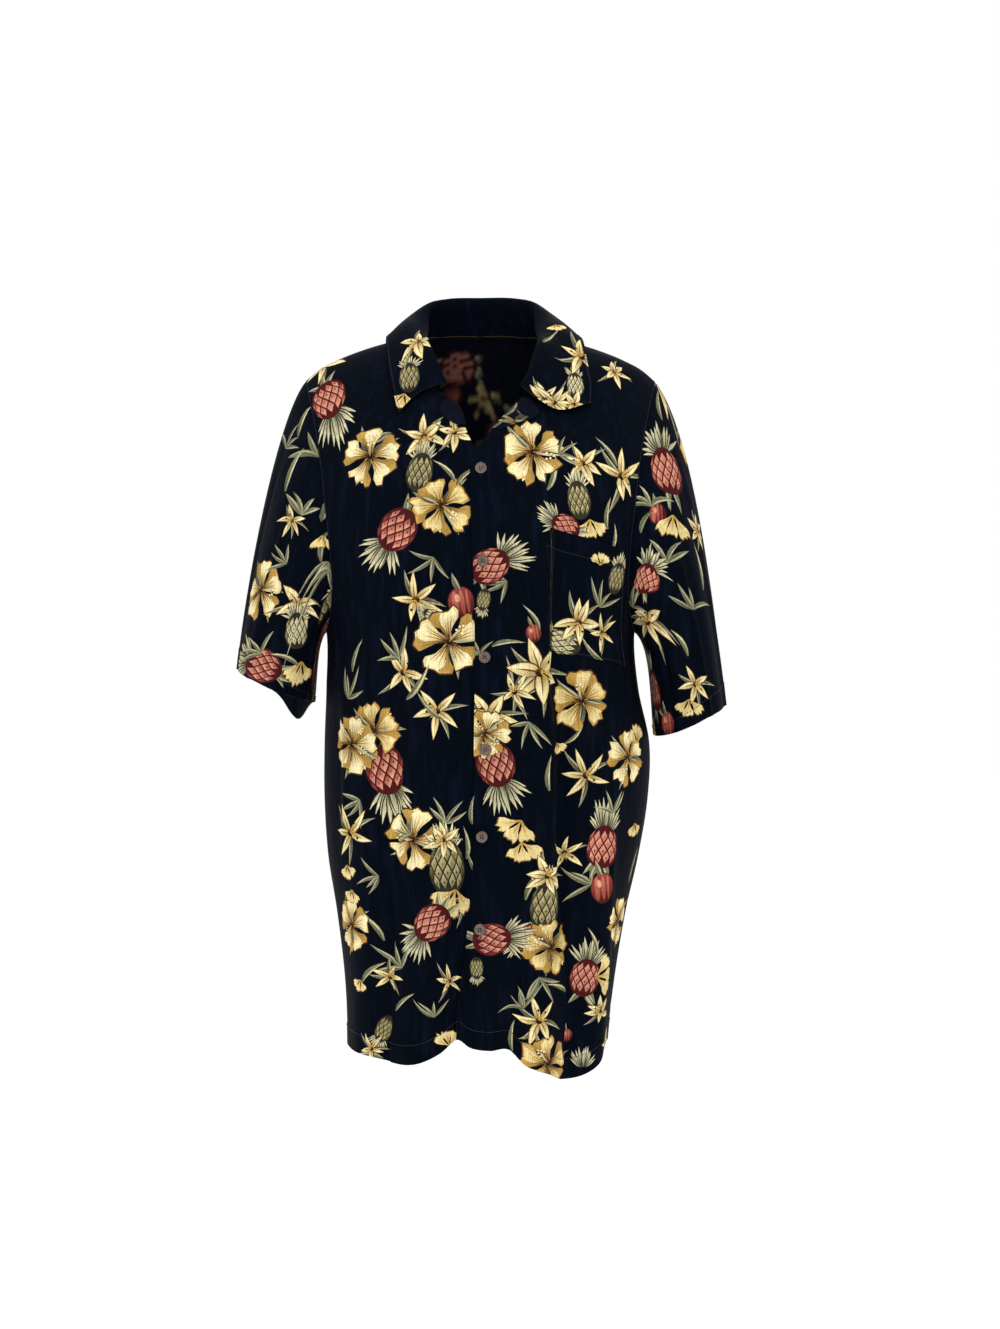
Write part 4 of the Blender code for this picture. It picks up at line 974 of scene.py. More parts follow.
# the print is an attribute of the cloth, the rest is woven in with nodes, apart from a faint painted sheen on
# the crinkle
def clothMaterial(name, fadedAndShaded):
    material, nodes, links, shader, coords = startMaterial(name, "cloth")

    def noise(scale, size, detail):
        stretch = nodes.new("ShaderNodeMapping")
        stretch.inputs["Scale"].default_value = scale
        links.new(coords.outputs["Object"], stretch.inputs["Vector"])
        texture = nodes.new("ShaderNodeTexNoise")
        setInputs(texture, {"Scale": size, "Detail": detail})
        links.new(stretch.outputs["Vector"], texture.inputs["Vector"])
        return texture.outputs["Fac"]

    def ramp(source, low, high, dark, light):
        spread = nodes.new("ShaderNodeMapRange")
        setInputs(spread, {"From Min": low, "From Max": high, "To Min": dark, "To Max": light})
        links.new(source, spread.inputs["Value"])
        return spread.outputs["Result"]

    def mixed(blend, factor, first, second):
        mix = nodes.new("ShaderNodeMix")
        mix.data_type = "RGBA"
        mix.blend_type = blend
        for socket, value in zip((mix.inputs[0], mix.inputs[6], mix.inputs[7]), (factor, first, second)):
            if isinstance(value, bpy.types.NodeSocket):
                links.new(value, socket)
            else:
                socket.default_value = value
        return mix.outputs[2]

    printed = nodes.new("ShaderNodeAttribute")
    printed.attribute_name = "print"
    slub = noise((1.0, 1.0, 0.08), 900, 3)             # uneven up-and-down threads
    weft = noise((0.08, 0.08, 1.0), 1100, 2)           # finer crossways threads
    crinkle = noise((1.0, 1.0, 0.16), 130, 4)          # crepe crinkle
    cloud = noise((1.0, 1.0, 0.6), 16, 3)              # soft wear and dye variation
    colour = printed.outputs["Color"]
    # the inside: the print shows through fainter, and the mix towards near-black is also painted shade on the
    # facings under the collar
    if fadedAndShaded:
        colour = mixed("MIX", 0.55, colour, (*ink(16, 17, 26), 1.0))
    colour = mixed("MULTIPLY", 1.0, colour, ramp(slub, 0.25, 0.75, 0.66, 1.26))
    colour = mixed("MULTIPLY", 1.0, colour, ramp(weft, 0.25, 0.75, 0.84, 1.14))
    colour = mixed("MULTIPLY", 1.0, colour, ramp(cloud, 0.3, 0.7, 0.86, 1.10))
    # painted sheen: a faint bluish lightening added to the colour on the crinkle crests
    crinkleSheen = ramp(crinkle, 0.50, 0.80, 0.0, 0.010)
    colour = mixed("ADD", crinkleSheen, colour, (0.25, 0.35, 0.9, 1.0))
    links.new(colour, shader.inputs["Base Color"])
    links.new(ramp(crinkle, 0.3, 0.7, 0.70, 0.86), shader.inputs["Roughness"])
    fine = addBump(nodes, links, slub, 0.5, 0.0003)
    broad = addBump(nodes, links, crinkle, 0.55, 0.0016)
    links.new(fine.outputs["Normal"], broad.inputs["Normal"])
    links.new(broad.outputs["Normal"], shader.inputs["Normal"])
    return material


def threadMaterial(name, colour):
    material, nodes, links, shader, coords = startMaterial(name, "thread")
    twist = noiseTones(nodes, links, shader, coords, {"Scale": 2600},
                       [(0.0, colour * 0.55), (1.0, colour * 1.5)])
    bump = addBump(nodes, links, twist, 0.4, 0.0001)
    links.new(bump.outputs["Normal"], shader.inputs["Normal"])
    return material


rightSide = clothMaterial("printedRayon", False)
# the dimmed inside cloth, which is also painted shade on the turned-out facings under the collar
wrongSideAndShade = clothMaterial("printedRayonInsideAndShade", True)
cloths = [rightSide, wrongSideAndShade]
navyThread = threadMaterial("navyThread", ink(26, 28, 44))
brownThread = threadMaterial("brownThread", ink(58, 44, 36))


def place(piece, *nodes):
    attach(piece, "root")
    if nodes:
        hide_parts(*nodes)
    return piece


# fronts
def lapShare(x, z, side):
    return softStep(side * x, 0.055, 0.024) * softStep(z, -0.070, -0.105)


def outFrom(u, points):
    # straight away from the middle of the body, one direction for each point
    turn = np.asarray(u, float) / body["round"]
    return np.stack(np.broadcast_arrays(np.sin(turn), -np.cos(turn), 0.0 * points[..., 2]), axis=-1)


def frontSheet(side, edge):
    def at(u, v):
        points = bodyAt(u, v)
        share = lapShare(points[..., 0], points[..., 2], side)
        return points + outFrom(u, points) * (side * body["lapLift"] * share)[..., None]
    farU = side * math.pi / 2 * body["round"]
    nearU = -side * 0.045
    z = np.linspace(body["hem"], edge[-1][0], 260)
    inner = bodyChart(readCurve(edge, z), z)
    z = np.linspace(frontArmhole[-1][0], body["underarm"], 160)
    arm = bodyChart(side * readCurve(frontArmhole, z), z)
    inner[-1, 1] = topV
    arm[0, 1] = topV
    arm[-1] = (farU, body["underarm"])
    corner = (farU, body["hem"])
    runs = [inner, [inner[-1], arm[0]], arm, [arm[-1], corner], [corner, inner[0]]]
    return {"at": at, "runs": runs, "flip": 1, "findU": sorted((nearU, farU)), "arm": arm,
            "findV": (body["hem"], topV), "seen": {}, "edge": edge, "side": side}


leftSheet = frontSheet(1, leftFrontEdge)
rightSheet = frontSheet(-1, rightFrontEdge)
bodyHem = {"runs": [0, 4], "wall": body["hemWall"], "deep": body["hemDeep"]}
bodyDip = {"runs": [1, 2, 3], "deep": body["seamDip"], "wide": body["seamWide"]}
leftFront = buildCloth("leftFront", leftSheet, leftSheet["runs"], layPrint(leftSheet, leftPrint, seenFrom),
                       body["mesh"], body["wall"], cloths, bodyHem, bodyDip)
place(leftFront, "front_left")
rightFront = buildCloth("rightFront", rightSheet, rightSheet["runs"],
                        layPrint(rightSheet, rightPrint, seenFrom), body["mesh"], body["wall"], cloths,
                        bodyHem, bodyDip)
place(rightFront, "front_right")
print("fronts made")


# back
def backAt(u, v):
    return bodyAt(u, v, True)


def backSheet():
    quarter = math.pi / 2 * body["round"]
    z = np.linspace(body["underarm"], backArmhole[-1][0], 160)
    leftArm = bodyChart(readCurve(backArmhole, z), z, True)
    leftArm[-1, 1] = topV
    leftArm[0] = (quarter, body["underarm"])
    x = np.linspace(0.0715, -0.0715, 90)
    neck = bodyChart(x, readCurve(backNeck, np.abs(x)), True)
    neck[0, 1] = neck[-1, 1] = topV
    rightArm = (leftArm * (-1, 1) + (4 * quarter, 0))[::-1]
    leftHem, rightHem = (quarter, body["hem"]), (3 * quarter, body["hem"])
    runs = [[leftHem, leftArm[0]], leftArm, [leftArm[-1], neck[0]], neck, [neck[-1], rightArm[0]], rightArm,
            [rightArm[-1], rightHem], [rightHem, leftHem]]
    return {"at": backAt, "runs": runs, "flip": 1, "findU": (quarter, 3 * quarter),
            "findV": (body["hem"], topV), "seen": {}, "arms": {1: leftArm, -1: rightArm[::-1]}}


# one repeat of the print, offsets in mm, used where no part of the print is listed one by one
repeatGroup = [("spray", -42, 22, 22, 30), ("hibiscus", -26, 46, 28, 10), ("lily", 22, 66, 20, 20),
               ("budPine", 18, 28, 34, -8), ("pineapple", -10, -26, 38, 142), ("gold", 34, -10, 27, 20),
               ("orchid", -50, -58, 22, 15), ("spray", 32, -62, 22, 160), ("plum", -38, 0, 20, 10)]


def layRepeat(sheet, centres, toChart, seed=0):
    # a whole group of the repeat round each centre, each turned a little
    laid = []
    for number, (centreX, centreZ) in enumerate(centres):
        tilt = math.radians(25 * number)
        for kind, x, z, size, angle in repeatGroup:
            x, z = x * math.cos(tilt) - z * math.sin(tilt), x * math.sin(tilt) + z * math.cos(tilt)
            u, v = toChart((centreX + x) / 1000, (centreZ + z) / 1000)
            laid += layAt(sheet, kind, u, v, size, angle + math.degrees(tilt), seed + number,
                          printing["plainStroke"])
    return laid


rearSheet = backSheet()
rearCentres = [(column * 138 - 207, 60 - row * 178 - (89 if column % 2 else 0))
               for column in range(4) for row in range(5)]
backPrint = layRepeat(rearSheet, rearCentres, lambda x, z: (math.pi * body["round"] - x, z))
back = buildCloth("backPanel", rearSheet, rearSheet["runs"], backPrint, body["backMesh"], body["wall"],
                  cloths, {"runs": [3, 7], "wall": body["hemWall"], "deep": body["hemDeep"]},
                  {"runs": [0, 1, 2, 4, 5, 6], "deep": body["seamDip"], "wide": body["seamWide"]})
place(back, "back")
print("back made")


# sleeves
sleeve = {"wall": 0.0009, "hemWall": 0.0017, "hemDeep": 0.024, "mesh": 0.0034, "seamDip": 0.0007,
          "roundScale": 0.062, "downScale": 0.33}
sleeveMade = {}


def sleeveSheet(side, front, size):
    frontArm = front["at"](*front["arm"].T)
    rearArm = backAt(*rearSheet["arms"][side].T)
    rearArm[0] = frontArm[-1]
    rearArm[-1] = frontArm[0]
    loop = np.concatenate([frontArm, rearArm[1:]])
    lengths = np.concatenate([walked(frontArm) / walked(frontArm)[-1],
                              1 + walked(rearArm)[1:] / walked(rearArm)[-1]]) * math.pi

    def rails(around):
        around = np.mod(around, 2 * math.pi)
        start = np.stack([np.interp(around, lengths, loop[:, axis]) for axis in range(3)], axis=-1)
        top, fore = np.cos(around), np.sin(around)
        flare = np.where(top > 0, 0.46 + 0.16 * top, 0.46 - 0.36 * top)
        leave = np.stack([side * flare, -0.25 * fore, -np.sqrt(1 - flare ** 2)], axis=-1)
        leave /= np.linalg.norm(leave, axis=-1, keepdims=True)
        mean = (size["outer"] + size["front"] + size["inner"] + size["back"]) / 4
        heights = mean + (size["outer"] - size["inner"]) / 2 * top
        heights = heights + (size["front"] - size["back"]) / 2 * fore
        sag = size["outer"] + size["inner"] - size["front"] - size["back"]
        heights = heights + sag / 4 * np.cos(2 * around)
        heights = heights - size["dip"] * np.exp(-((around - 4.25) / 0.36) ** 2)
        hem = np.stack([size["middle"] + side * size["half"] * top, body["middle"] - size["deep"] * fore,
                        heights], axis=-1)
        span = np.linalg.norm(hem - start, axis=-1, keepdims=True)
        first = start + leave * span * (size["puff"] + 0.03 * (1 - top[..., None]) / 2)
        second = hem - np.array([side * 0.11, 0.0, -1.0]) * span * 0.33
        return start, first, second, hem
    ringMiddles = [rail.mean(axis=0) for rail in rails(np.linspace(0, 2 * math.pi, 96, endpoint=False))]

    def at(u, v):
        u, v = np.broadcast_arrays(np.asarray(u, float), np.asarray(v, float))
        around = -side * u / sleeve["roundScale"]
        step = np.clip(-v / sleeve["downScale"], 0.0, 1.0)[..., None]
        weights = ((1 - step) ** 3, 3 * (1 - step) ** 2 * step, 3 * (1 - step) * step ** 2, step ** 3)
        ring = sum(weight * rail for weight, rail in zip(weights, rails(around)))
        middle = sum(weight * spot for weight, spot in zip(weights, ringMiddles))
        outward = (ring - middle) * (1, 1, 0)
        outward /= np.linalg.norm(outward, axis=-1, keepdims=True)
        fold = np.zeros(around.shape)
        for turn, width, depth in sleeveFolds + sleeveCreases[side]:
            gap = np.angle(np.exp(1j * (around - turn)))
            fold = fold + depth * np.exp(-(gap / width) ** 2)
        return ring + outward * (fold[..., None] * softStep(step, 0.08, 0.55))
    half = math.pi * sleeve["roundScale"]
    low = -sleeve["downScale"]
    runs = [[(-half, 0.0), (half, 0.0)], [(half, 0.0), (half, low)], [(half, low), (-half, low)],
            [(-half, low), (-half, 0.0)]]
    seen = sorted((0.0, -side * half))
    return {"at": at, "runs": runs, "flip": 1, "findU": seen, "findV": (low, 0.0), "seen": {},
            "side": side}


def sleevePrint(sheet, rows, seed):
    # the back of the sleeve carries on the same repeat; x runs round it from the shoulder line
    centres = [(-50, -55), (-135, -95), (-78, -215), (-165, -250)]
    half = math.pi * sleeve["roundScale"]

    def toChart(x, z):
        return max(-half, min(half, -sheet["side"] * x)), min(z, -0.005)
    return layRepeat(sheet, centres, toChart, seed) + layPrint(sheet, rows, seenFrom)


for name, node, front, rows, seed in (("rightSleeve", "sleeve_right", rightSheet, rightSleevePrint, 20),
                                      ("leftSleeve", "sleeve_left", leftSheet, leftSleevePrint, 70)):
    sheet = sleeveSheet(front["side"], front, sleeves[node.split("_")[1]])
    made = buildCloth(name, sheet, sheet["runs"], sleevePrint(sheet, rows, seed), sleeve["mesh"],
                      sleeve["wall"], cloths,
                      {"runs": [2], "wall": sleeve["hemWall"], "deep": sleeve["hemDeep"]},
                      {"runs": [0, 1, 3], "deep": sleeve["seamDip"], "wide": body["seamWide"]})
    place(made, node)
    sleeveMade[node] = (made, sheet)
print("sleeves made")


# sheets read off a grid of points, smoothly
def throughPoints(points, count):
    points = np.array(points, dtype=float)
    lengths = walked(points)
    wanted = np.linspace(0, lengths[-1], count)
    return np.stack([readCurve(list(zip(lengths, points[:, axis])), wanted) for axis in range(3)], axis=1)


def gridSheet(grid, outward):
    rows, columns = grid.shape[:2]
    wide = walked(grid[rows // 2])[-1]
    high = walked(grid[:, columns // 2])[-1]

    def weights(t):
        return (-0.5 * t + t ** 2 - 0.5 * t ** 3, 1 - 2.5 * t ** 2 + 1.5 * t ** 3,
                0.5 * t + 2 * t ** 2 - 1.5 * t ** 3, -0.5 * t ** 2 + 0.5 * t ** 3)
    padded = np.pad(grid, ((1, 1), (1, 1), (0, 0)), mode="reflect", reflect_type="odd")

    def at(u, v):
        u, v = np.broadcast_arrays(np.asarray(u, float), np.asarray(v, float))
        across = np.clip(u / wide * (columns - 1), -0.5, columns - 0.5)
        along = np.clip(v / high * (rows - 1), -0.5, rows - 0.5)
        c = np.clip(np.floor(across).astype(int), 0, columns - 2)
        r = np.clip(np.floor(along).astype(int), 0, rows - 2)
        result = 0.0
        for i, down in enumerate(weights(along - r)):
            for j, over in enumerate(weights(across - c)):
                result = result + padded[r + i, c + j] * (down * over)[..., None]
        return result
    runs = [[(0, 0), (wide, 0)], [(wide, 0), (wide, high)], [(wide, high), (0, high)], [(0, high), (0, 0)]]
    sheet = {"at": at, "runs": runs, "flip": 1, "findU": (0, wide), "findV": (0, high), "seen": {},
             "wide": wide, "high": high}
    normal = normalsOf(at, np.array([wide / 2]), np.array([high * 0.7]), 1)[0]
    if np.dot(normal, outward) < 0:
        sheet["flip"] = -1
    return sheet


# collar
collar = {"wall": 0.0016, "mesh": 0.0030, "along": 241, "across": 61, "stitchIn": 0.0045}


def onFront(x, z, lift):
    spot = bodyChart(x, z)
    normal = normalsOf(bodyAt, spot[0], spot[1], 1)
    return bodyAt(spot[0], spot[1]) + normal * lift


sections = [[onFront(*point) for point in row] for row in collarRight]
for row in collarBack:
    x, y = row[0][:2]
    if y < 0:
        seam = onFront(math.copysign(0.0700, x), -0.004, -0.0012)
    else:                                               # sewn to the back neck edge, just inside it
        spot = bodyChart(x, float(readCurve(backNeck, abs(x))) - 0.003, True)
        seam = backAt(spot[0], spot[1]) - normalsOf(backAt, spot[0], spot[1], 1) * 0.0014
    sections.append([seam] + [np.array(point) for point in row[1:]])
sections += [[onFront(*point) for point in row] for row in collarLeft]
lines = np.array([throughPoints(row, collar["across"]) for row in sections])
collarGrid = np.stack([throughPoints(lines[:, spot], collar["along"]) for spot in range(collar["across"])])
collarSheet = gridSheet(collarGrid, (0, 1, 0.3))
collarSheet["findV"] = (collarSheet["high"] * 0.42, collarSheet["high"])
laid = []
for number in range(5):
    kind = ("lily", "pineapple", "hibiscus", "budPine", "orchid")[number]
    laid += layAt(collarSheet, kind, collarSheet["wide"] * (0.34 + 0.08 * number),
                  collarSheet["high"] * (0.70 if number % 2 else 0.82), 24, 60 * number, number)
collarCloth = buildCloth("collarCloth", collarSheet, collarSheet["runs"],
                         laid + layPrint(collarSheet, collarPrint, seenFrom), collar["mesh"], collar["wall"],
                         [rightSide, rightSide])
place(collarCloth, "collar")
print("collar made")


# front facings where they turn out below the collar; both faces take the dimmed inside cloth, which is
# painted shade there under the collar
facing = {"wall": 0.0009, "mesh": 0.0025, "inside": 0.010, "roll": 0.0020}


def facingSheet(front, name):
    side = front["side"]
    high, low = flapSpan[name]
    widths = [(i / 5, w) for i, w in enumerate(flapWidths[name])]
    rows = []
    for share in np.linspace(0, 1, 13):
        z = high + (low - high) * share
        spot = bodyChart(readCurve(front["edge"], z), z)
        edgePoint = front["at"](spot[0], spot[1])
        normal = normalsOf(front["at"], spot[0], spot[1], 1)
        inward = front["at"](spot[0] + side * 0.002, spot[1]) - edgePoint
        speed = np.linalg.norm(inward) / 0.002
        inward /= np.linalg.norm(inward)
        width = float(readCurve(widths, share))

        def away(distance, lift):
            u = spot[0] + side * distance / speed
            return front["at"](u, spot[1]) + normalsOf(front["at"], u, spot[1], 1) * lift
        reach = facing["roll"]
        row = [away(facing["inside"], -reach)]
        for angle in (-90, -50, 0, 50, 90):
            a = math.radians(angle)
            row.append(edgePoint + (normal * math.sin(a) - inward * math.cos(a)) * reach)
        row.append(away(width * 0.5, reach + 0.0010))
        row.append(away(width, reach + 0.0003))
        rows.append(throughPoints(row, 33))
    sheet = gridSheet(np.array(rows), (0, -1, 0))
    middle = normalsOf(sheet["at"], np.array([sheet["wide"] * 0.9]), np.array([sheet["high"] * 0.5]), 1)[0]
    sheet["flip"] = 1 if middle[1] < 0 else -1
    sheet["findU"] = (sheet["wide"] * 0.5, sheet["wide"])
    return sheet


for name, front in (("left", leftSheet), ("right", rightSheet)):
    sheet = facingSheet(front, name)
    rows = facingPrint if name == "left" else []
    made = buildCloth(name + "Facing", sheet, sheet["runs"], layPrint(sheet, rows, seenFrom), facing["mesh"],
                      facing["wall"], [wrongSideAndShade, wrongSideAndShade])
    place(made, "facing_" + name)
print("facings made")


# chest pocket
pocket = {"wall": 0.0009, "mesh": 0.0028, "lift": 0.0014, "swell": 0.0016, "topHem": 0.022,
          "seamDip": 0.0005, "seamWide": 0.0020, "stitchIn": 0.0022}


def pocketAt(u, v):
    points = bodyAt(u, v)
    low, high = pocketBox
    across = np.clip((u - low[0]) / (high[0] - low[0]), 0, 1)
    up = np.clip((v - low[1]) / (high[1] - low[1]), 0, 1)
    swell = pocket["swell"] * np.sin(math.pi * across) * (0.35 + 0.65 * up)
    return points + outFrom(u, points) * (pocket["lift"] + swell)[..., None]


pocketChart = np.array([bodyChart(x, z) for x, z in pocketCorners])
pocketBox = (pocketChart.min(axis=0), pocketChart.max(axis=0))
pocketRuns = [[pocketChart[i], pocketChart[(i + 1) % 4]] for i in range(4)]
pocketSheet = {"at": pocketAt, "runs": pocketRuns, "flip": 1, "findU": (pocketBox[0][0], pocketBox[1][0]),
               "findV": (pocketBox[0][1], pocketBox[1][1]), "seen": {}}
pocketCloth = buildCloth("pocketCloth", pocketSheet, pocketRuns, layPrint(pocketSheet, pocketPrint, seenFrom),
                         pocket["mesh"], pocket["wall"], cloths,
                         {"runs": [0], "wall": body["hemWall"], "deep": pocket["topHem"]},
                         {"runs": [1, 2, 3], "deep": pocket["seamDip"], "wide": pocket["seamWide"]})
place(pocketCloth, "pocket")
print("pocket made")


# stitching: one small thread piece laid again and again along a line
stitch = {"space": 0.0030, "long": 0.0021, "thread": 0.00024, "lift": 0.00018, "seamIn": 0.0016,
          "hemIn": 0.002}


def stitchTree(name):
    tree = bpy.data.node_groups.new(name, "GeometryNodeTree")
    tree.interface.new_socket("Line", in_out="INPUT", socket_type="NodeSocketGeometry")
    for label, value in (("Spacing", stitch["space"]), ("Length", stitch["long"]),
                         ("Thread radius", stitch["thread"])):
        socket = tree.interface.new_socket(label, in_out="INPUT", socket_type="NodeSocketFloat")
        socket.default_value = value
    tree.interface.new_socket("Thread", in_out="INPUT", socket_type="NodeSocketMaterial")
    tree.interface.new_socket("Stitches", in_out="OUTPUT", socket_type="NodeSocketGeometry")
    nodes, links = tree.nodes, tree.links
    given, result = nodes.new("NodeGroupInput"), nodes.new("NodeGroupOutput")
    curve = nodes.new("GeometryNodeMeshToCurve")
    spread = nodes.new("GeometryNodeResampleCurve")
    spread.mode = "LENGTH"
    thread = nodes.new("GeometryNodeMeshCylinder")
    thread.inputs["Vertices"].default_value = 6
    along = nodes.new("GeometryNodeInputTangent")
    aim = nodes.new("FunctionNodeAlignEulerToVector")
    aim.axis = "Z"
    lay = nodes.new("GeometryNodeInstanceOnPoints")
    real = nodes.new("GeometryNodeRealizeInstances")
    coat = nodes.new("GeometryNodeSetMaterial")
    links.new(given.outputs["Line"], curve.inputs["Mesh"])
    links.new(curve.outputs["Curve"], spread.inputs["Curve"])
    links.new(given.outputs["Spacing"], spread.inputs["Length"])
    links.new(given.outputs["Thread radius"], thread.inputs["Radius"])
    links.new(given.outputs["Length"], thread.inputs["Depth"])
    links.new(spread.outputs["Curve"], lay.inputs["Points"])
    links.new(thread.outputs["Mesh"], lay.inputs["Instance"])
    links.new(along.outputs["Tangent"], aim.inputs["Vector"])
    links.new(aim.outputs["Rotation"], lay.inputs["Rotation"])
    links.new(lay.outputs["Instances"], real.inputs["Geometry"])
    links.new(real.outputs["Geometry"], coat.inputs["Geometry"])
    links.new(given.outputs["Thread"], coat.inputs["Material"])
    links.new(coat.outputs["Geometry"], result.inputs["Stitches"])
    return tree


stitchLine = stitchTree("Stitch line")


def stitchAlong(name, paths, material, **values):
    # a row of stitches along each path, made one plain mesh
    points, edges = [], []
    for path in paths:
        edges += [(len(points) + i, len(points) + i + 1) for i in range(len(path) - 1)]
        points += [tuple(point) for point in path]
    mesh = bpy.data.meshes.new(name + "Line")
    mesh.from_pydata(points, edges, [])
    line = addObject(name + "Line", mesh)
    sewn = line.modifiers.new("Stitches", "NODES")
    sewn.node_group = stitchLine
    wanted = dict({"Thread": material}, **values)
    for item in stitchLine.interface.items_tree:
        if item.item_type == "SOCKET" and item.in_out == "INPUT" and item.name in wanted:
            sewn[item.identifier] = wanted[item.name]
    ready = line.evaluated_get(bpy.context.evaluated_depsgraph_get())
    result = bpy.data.meshes.new_from_object(ready)
    bpy.data.objects.remove(line, do_unlink=True)
    result.name = name
    if not result.materials:
        result.materials.append(material)
    print(name, len(result.polygons), "faces")
    return place(addObject(name, result))


def pathOn(sheet, points, lift):
    points = evenly(points, 0.0015)
    u, v = points[:, 0], points[:, 1]
    return sheet["at"](u, v) + normalsOf(sheet["at"], u, v, sheet["flip"]) * lift


def hemPath(sheet, run, inset, lift):
    # a line beside one run of the outline, drawn towards the middle of the piece
    run = np.asarray(run, float)
    slope = np.gradient(evenly(run, 0.004), axis=0)
    line = evenly(run, 0.004)
    away = np.stack([-slope[:, 1], slope[:, 0]], axis=1)
    away /= np.linalg.norm(away, axis=1, keepdims=True)
    corners = np.concatenate([np.asarray(part, float) for part in sheet["runs"]])
    middle = (corners.min(axis=0) + corners.max(axis=0)) / 2
    if np.sum((middle - line.mean(axis=0)) * away.mean(axis=0)) < 0:
        away = -away
    return pathOn(sheet, line + away * inset, lift)


proud = body["hemWall"] / 2 + stitch["lift"]
flat = body["wall"] / 2 + stitch["lift"]
hemIn = body["hemDeep"] - stitch["hemIn"]
for name, sheet in (("leftFrontStitches", leftSheet), ("rightFrontStitches", rightSheet)):
    seam = hemPath(sheet, sheet["runs"][2], stitch["seamIn"], flat)
    stitchAlong(name, [hemPath(sheet, sheet["runs"][4], hemIn, proud), seam], navyThread)
stitchAlong("backStitches", [hemPath(rearSheet, rearSheet["runs"][7], hemIn, proud)], navyThread)
for name, node in (("leftSleeveStitches", "sleeve_left"), ("rightSleeveStitches", "sleeve_right")):
    sheet = sleeveMade[node][1]
    sleeveIn = sleeve["hemDeep"] - stitch["hemIn"]
    stitchAlong(name, [hemPath(sheet, sheet["runs"][2], sleeveIn, proud)], navyThread)
rim = collar["wall"] / 2 + stitch["lift"]
outerEdge = collarSheet["runs"][2]
stitchAlong("collarStitches", [hemPath(collarSheet, outerEdge, collar["stitchIn"], rim)], navyThread)
pocketSides = [hemPath(pocketSheet, run, pocket["stitchIn"], flat) for run in pocketRuns[1:]]
pocketTop = hemPath(pocketSheet, pocketRuns[0], pocket["topHem"] - stitch["hemIn"], proud)
stitchAlong("pocketStitches", pocketSides + [pocketTop], navyThread)
print("stitching made")


# buttons keep their turned shape and get a marbled shell finish
button = {"thick": 0.0026, "lift": 0.0052, "holeOut": 0.0017, "cord": 0.0003, "slitWide": 0.0012,
          "slitLong": 0.0078, "slitSpace": 0.0007, "slitStitch": 0.0006}


def shellMaterial():
    material, nodes, links, shader, coords = startMaterial("brownShell", "shell")
    noiseTones(nodes, links, shader, coords, {"Scale": 320, "Detail": 6, "Distortion": 1.6},
               [(0.30, ink(38, 26, 22)), (0.68, ink(112, 92, 80))])
    return material


def buttonFrame(x, z):
    spot = bodyChart(x, z)
    normal = normalsOf(bodyAt, spot[0], spot[1], 1)
    up = np.array([0.0, 0.0, 1.0]) - normal * normal[2]
    up /= np.linalg.norm(up)
    return bodyAt(spot[0], spot[1]), np.cross(up, normal), up, normal


shell = shellMaterial()
holePaths, sewPaths = [], []
for number, (x, z) in enumerate(buttonSpots, start=1):
    disc = bpy.data.objects["button_%d" % number]
    for slot in disc.material_slots:
        slot.material = shell
    middle, right, up, out = buttonFrame(x, z)
    reach = button["holeOut"] * math.sqrt(0.5)
    top = button["lift"] + button["thick"] * 0.34
    for across in (-1, 1):
        ends = [middle + right * reach * across + up * reach * high + out * top for high in (-1, 1)]
        hump = (ends[0] + ends[1]) / 2 + out * 0.0005
        sewPaths.append([ends[0] - out * 0.003, ends[0], hump, ends[1], ends[1] - out * 0.003])
    shank = [middle + out * body["lapLift"], middle + out * (button["lift"] - button["thick"] * 0.5)]
    sewPaths.append(shank)
    slit = []
    for turn in np.linspace(0, 2 * math.pi, 40):
        slit.append((button["slitWide"] * math.sin(turn),
                     button["slitLong"] * max(-1, min(1, 1.3 * math.cos(turn)))))
    holePaths.append([middle + right * a + up * b + out * (body["lapLift"] + flat) for a, b in slit])


def cordMesh(name, paths, radius, material):
    # threads as thin round cords
    data = bpy.data.curves.new(name, "CURVE")
    data.dimensions = "3D"
    data.bevel_depth = radius
    data.bevel_resolution = 1
    data.use_fill_caps = True
    for path in paths:
        line = data.splines.new("POLY")
        line.points.add(len(path) - 1)
        for point, spot in zip(line.points, path):
            point.co = (*spot, 1.0)
    holder = addObject(name + "Curve", data)
    ready = holder.evaluated_get(bpy.context.evaluated_depsgraph_get())
    mesh = bpy.data.meshes.new_from_object(ready)
    bpy.data.objects.remove(holder, do_unlink=True)
    mesh.name = name
    mesh.materials.clear()
    mesh.materials.append(material)
    return place(addObject(name, mesh))


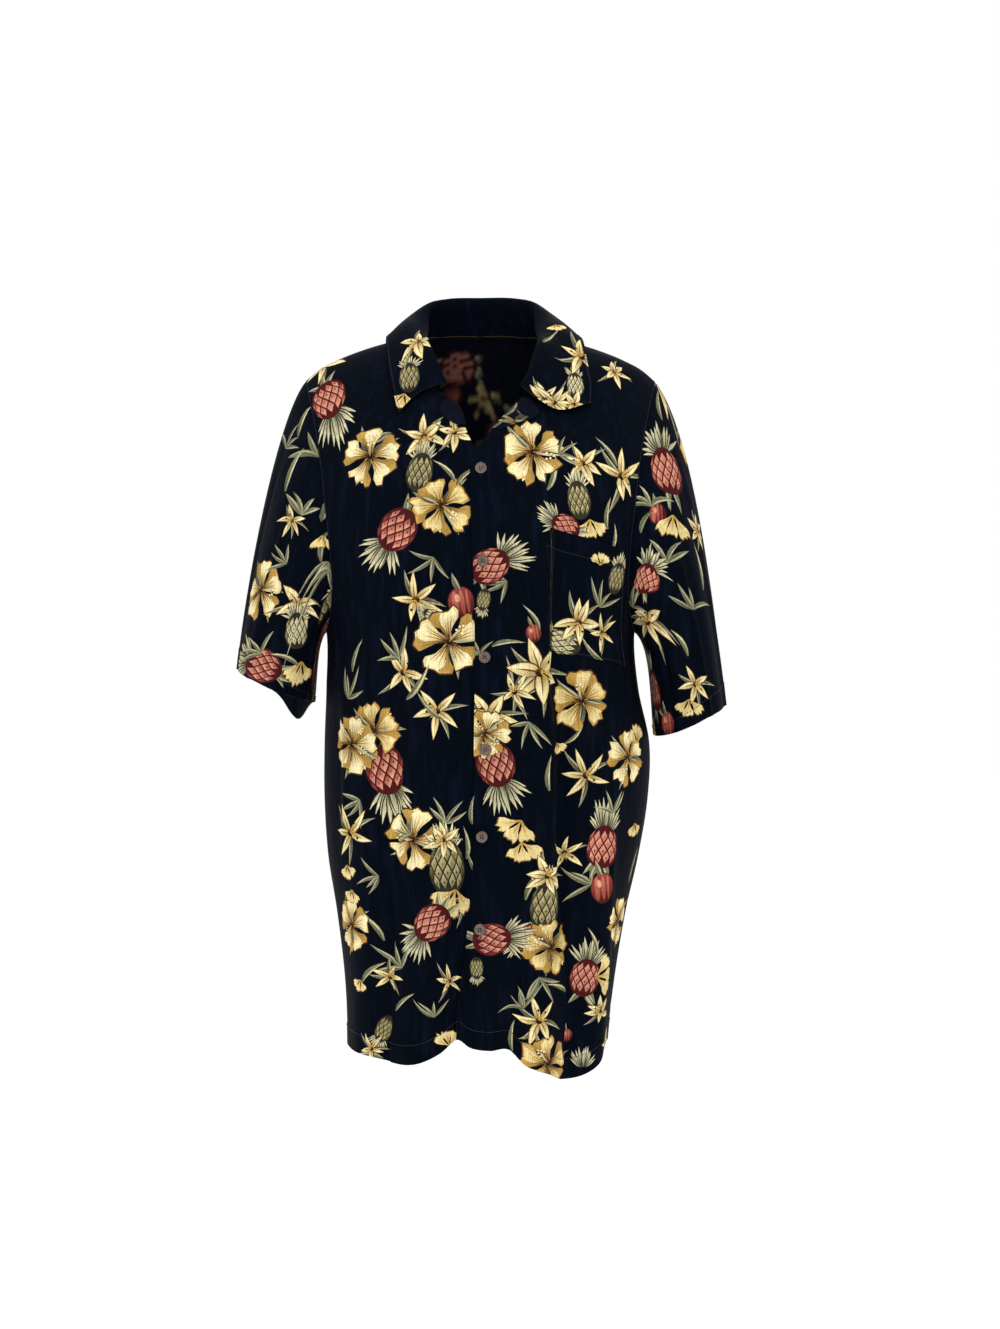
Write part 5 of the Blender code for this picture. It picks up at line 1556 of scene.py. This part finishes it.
cordMesh("buttonThreads", sewPaths, button["cord"], brownThread)
stitchAlong("buttonholeStitches", holePaths, navyThread, Spacing=button["slitSpace"],
            Length=button["slitStitch"])
print("buttons made")


# floor, light and camera
def paleMaterial():
    material, nodes, links, shader, coords = startMaterial("paleFloor", "floor")
    noiseTones(nodes, links, shader, coords, {"Scale": 3},
               [(0.0, (0.90, 0.90, 0.90)), (1.0, (0.94, 0.94, 0.94))])
    return material


floorLevel = cadBox[0][2] - 0.35
floorReach = 24.0
verts = [(x, y, floorLevel) for x, y in ((-1, -1), (1, -1), (1, 1), (-1, 1))]
verts = [(x * floorReach, y * floorReach, z) for x, y, z in verts]
floorMesh = bpy.data.meshes.new("floor")
floorMesh.from_pydata(verts, [], [(0, 1, 2, 3)])
floorMesh.materials.append(paleMaterial())
floor = addObject("floor", floorMesh)

lamps = {"key": ((-1.0, -2.6, 1.9), 1.2, 26), "fill": ((1.9, -2.8, 0.6), 2.0, 8),
         "top": ((0.2, -0.6, 2.2), 1.2, 12), "rear": ((0.4, 2.6, 1.6), 1.6, 16)}
for name, (spot, size, power) in lamps.items():
    data = bpy.data.lights.new(name, "AREA")
    data.size = size
    data.energy = power
    lamp = addObject(name, data)
    lamp.location = spot
    aim = Vector((0.0, 0.0, -0.35)) - Vector(spot)
    lamp.rotation_euler = aim.to_track_quat("-Z", "Y").to_euler()

world = bpy.data.worlds.new("studio")
world.use_nodes = True
world.node_tree.nodes["Background"].inputs["Color"].default_value = (1.0, 1.0, 1.0, 1.0)
world.node_tree.nodes["Background"].inputs["Strength"].default_value = 1.0
bpy.context.scene.world = world
bpy.context.scene.view_settings.view_transform = "Standard"

lens = bpy.data.cameras.new("camera")
lens.sensor_fit = "HORIZONTAL"
lens.sensor_width = 36
lens.lens = 36 * (frontPlane - cameraSpot[1]) / 1.05
lens.shift_y = 0.0138
camera = addObject("camera", lens)
camera.location = cameraSpot
camera.rotation_euler = (math.pi / 2, 0.0, 0.0)
bpy.context.scene.camera = camera
print("stage made")
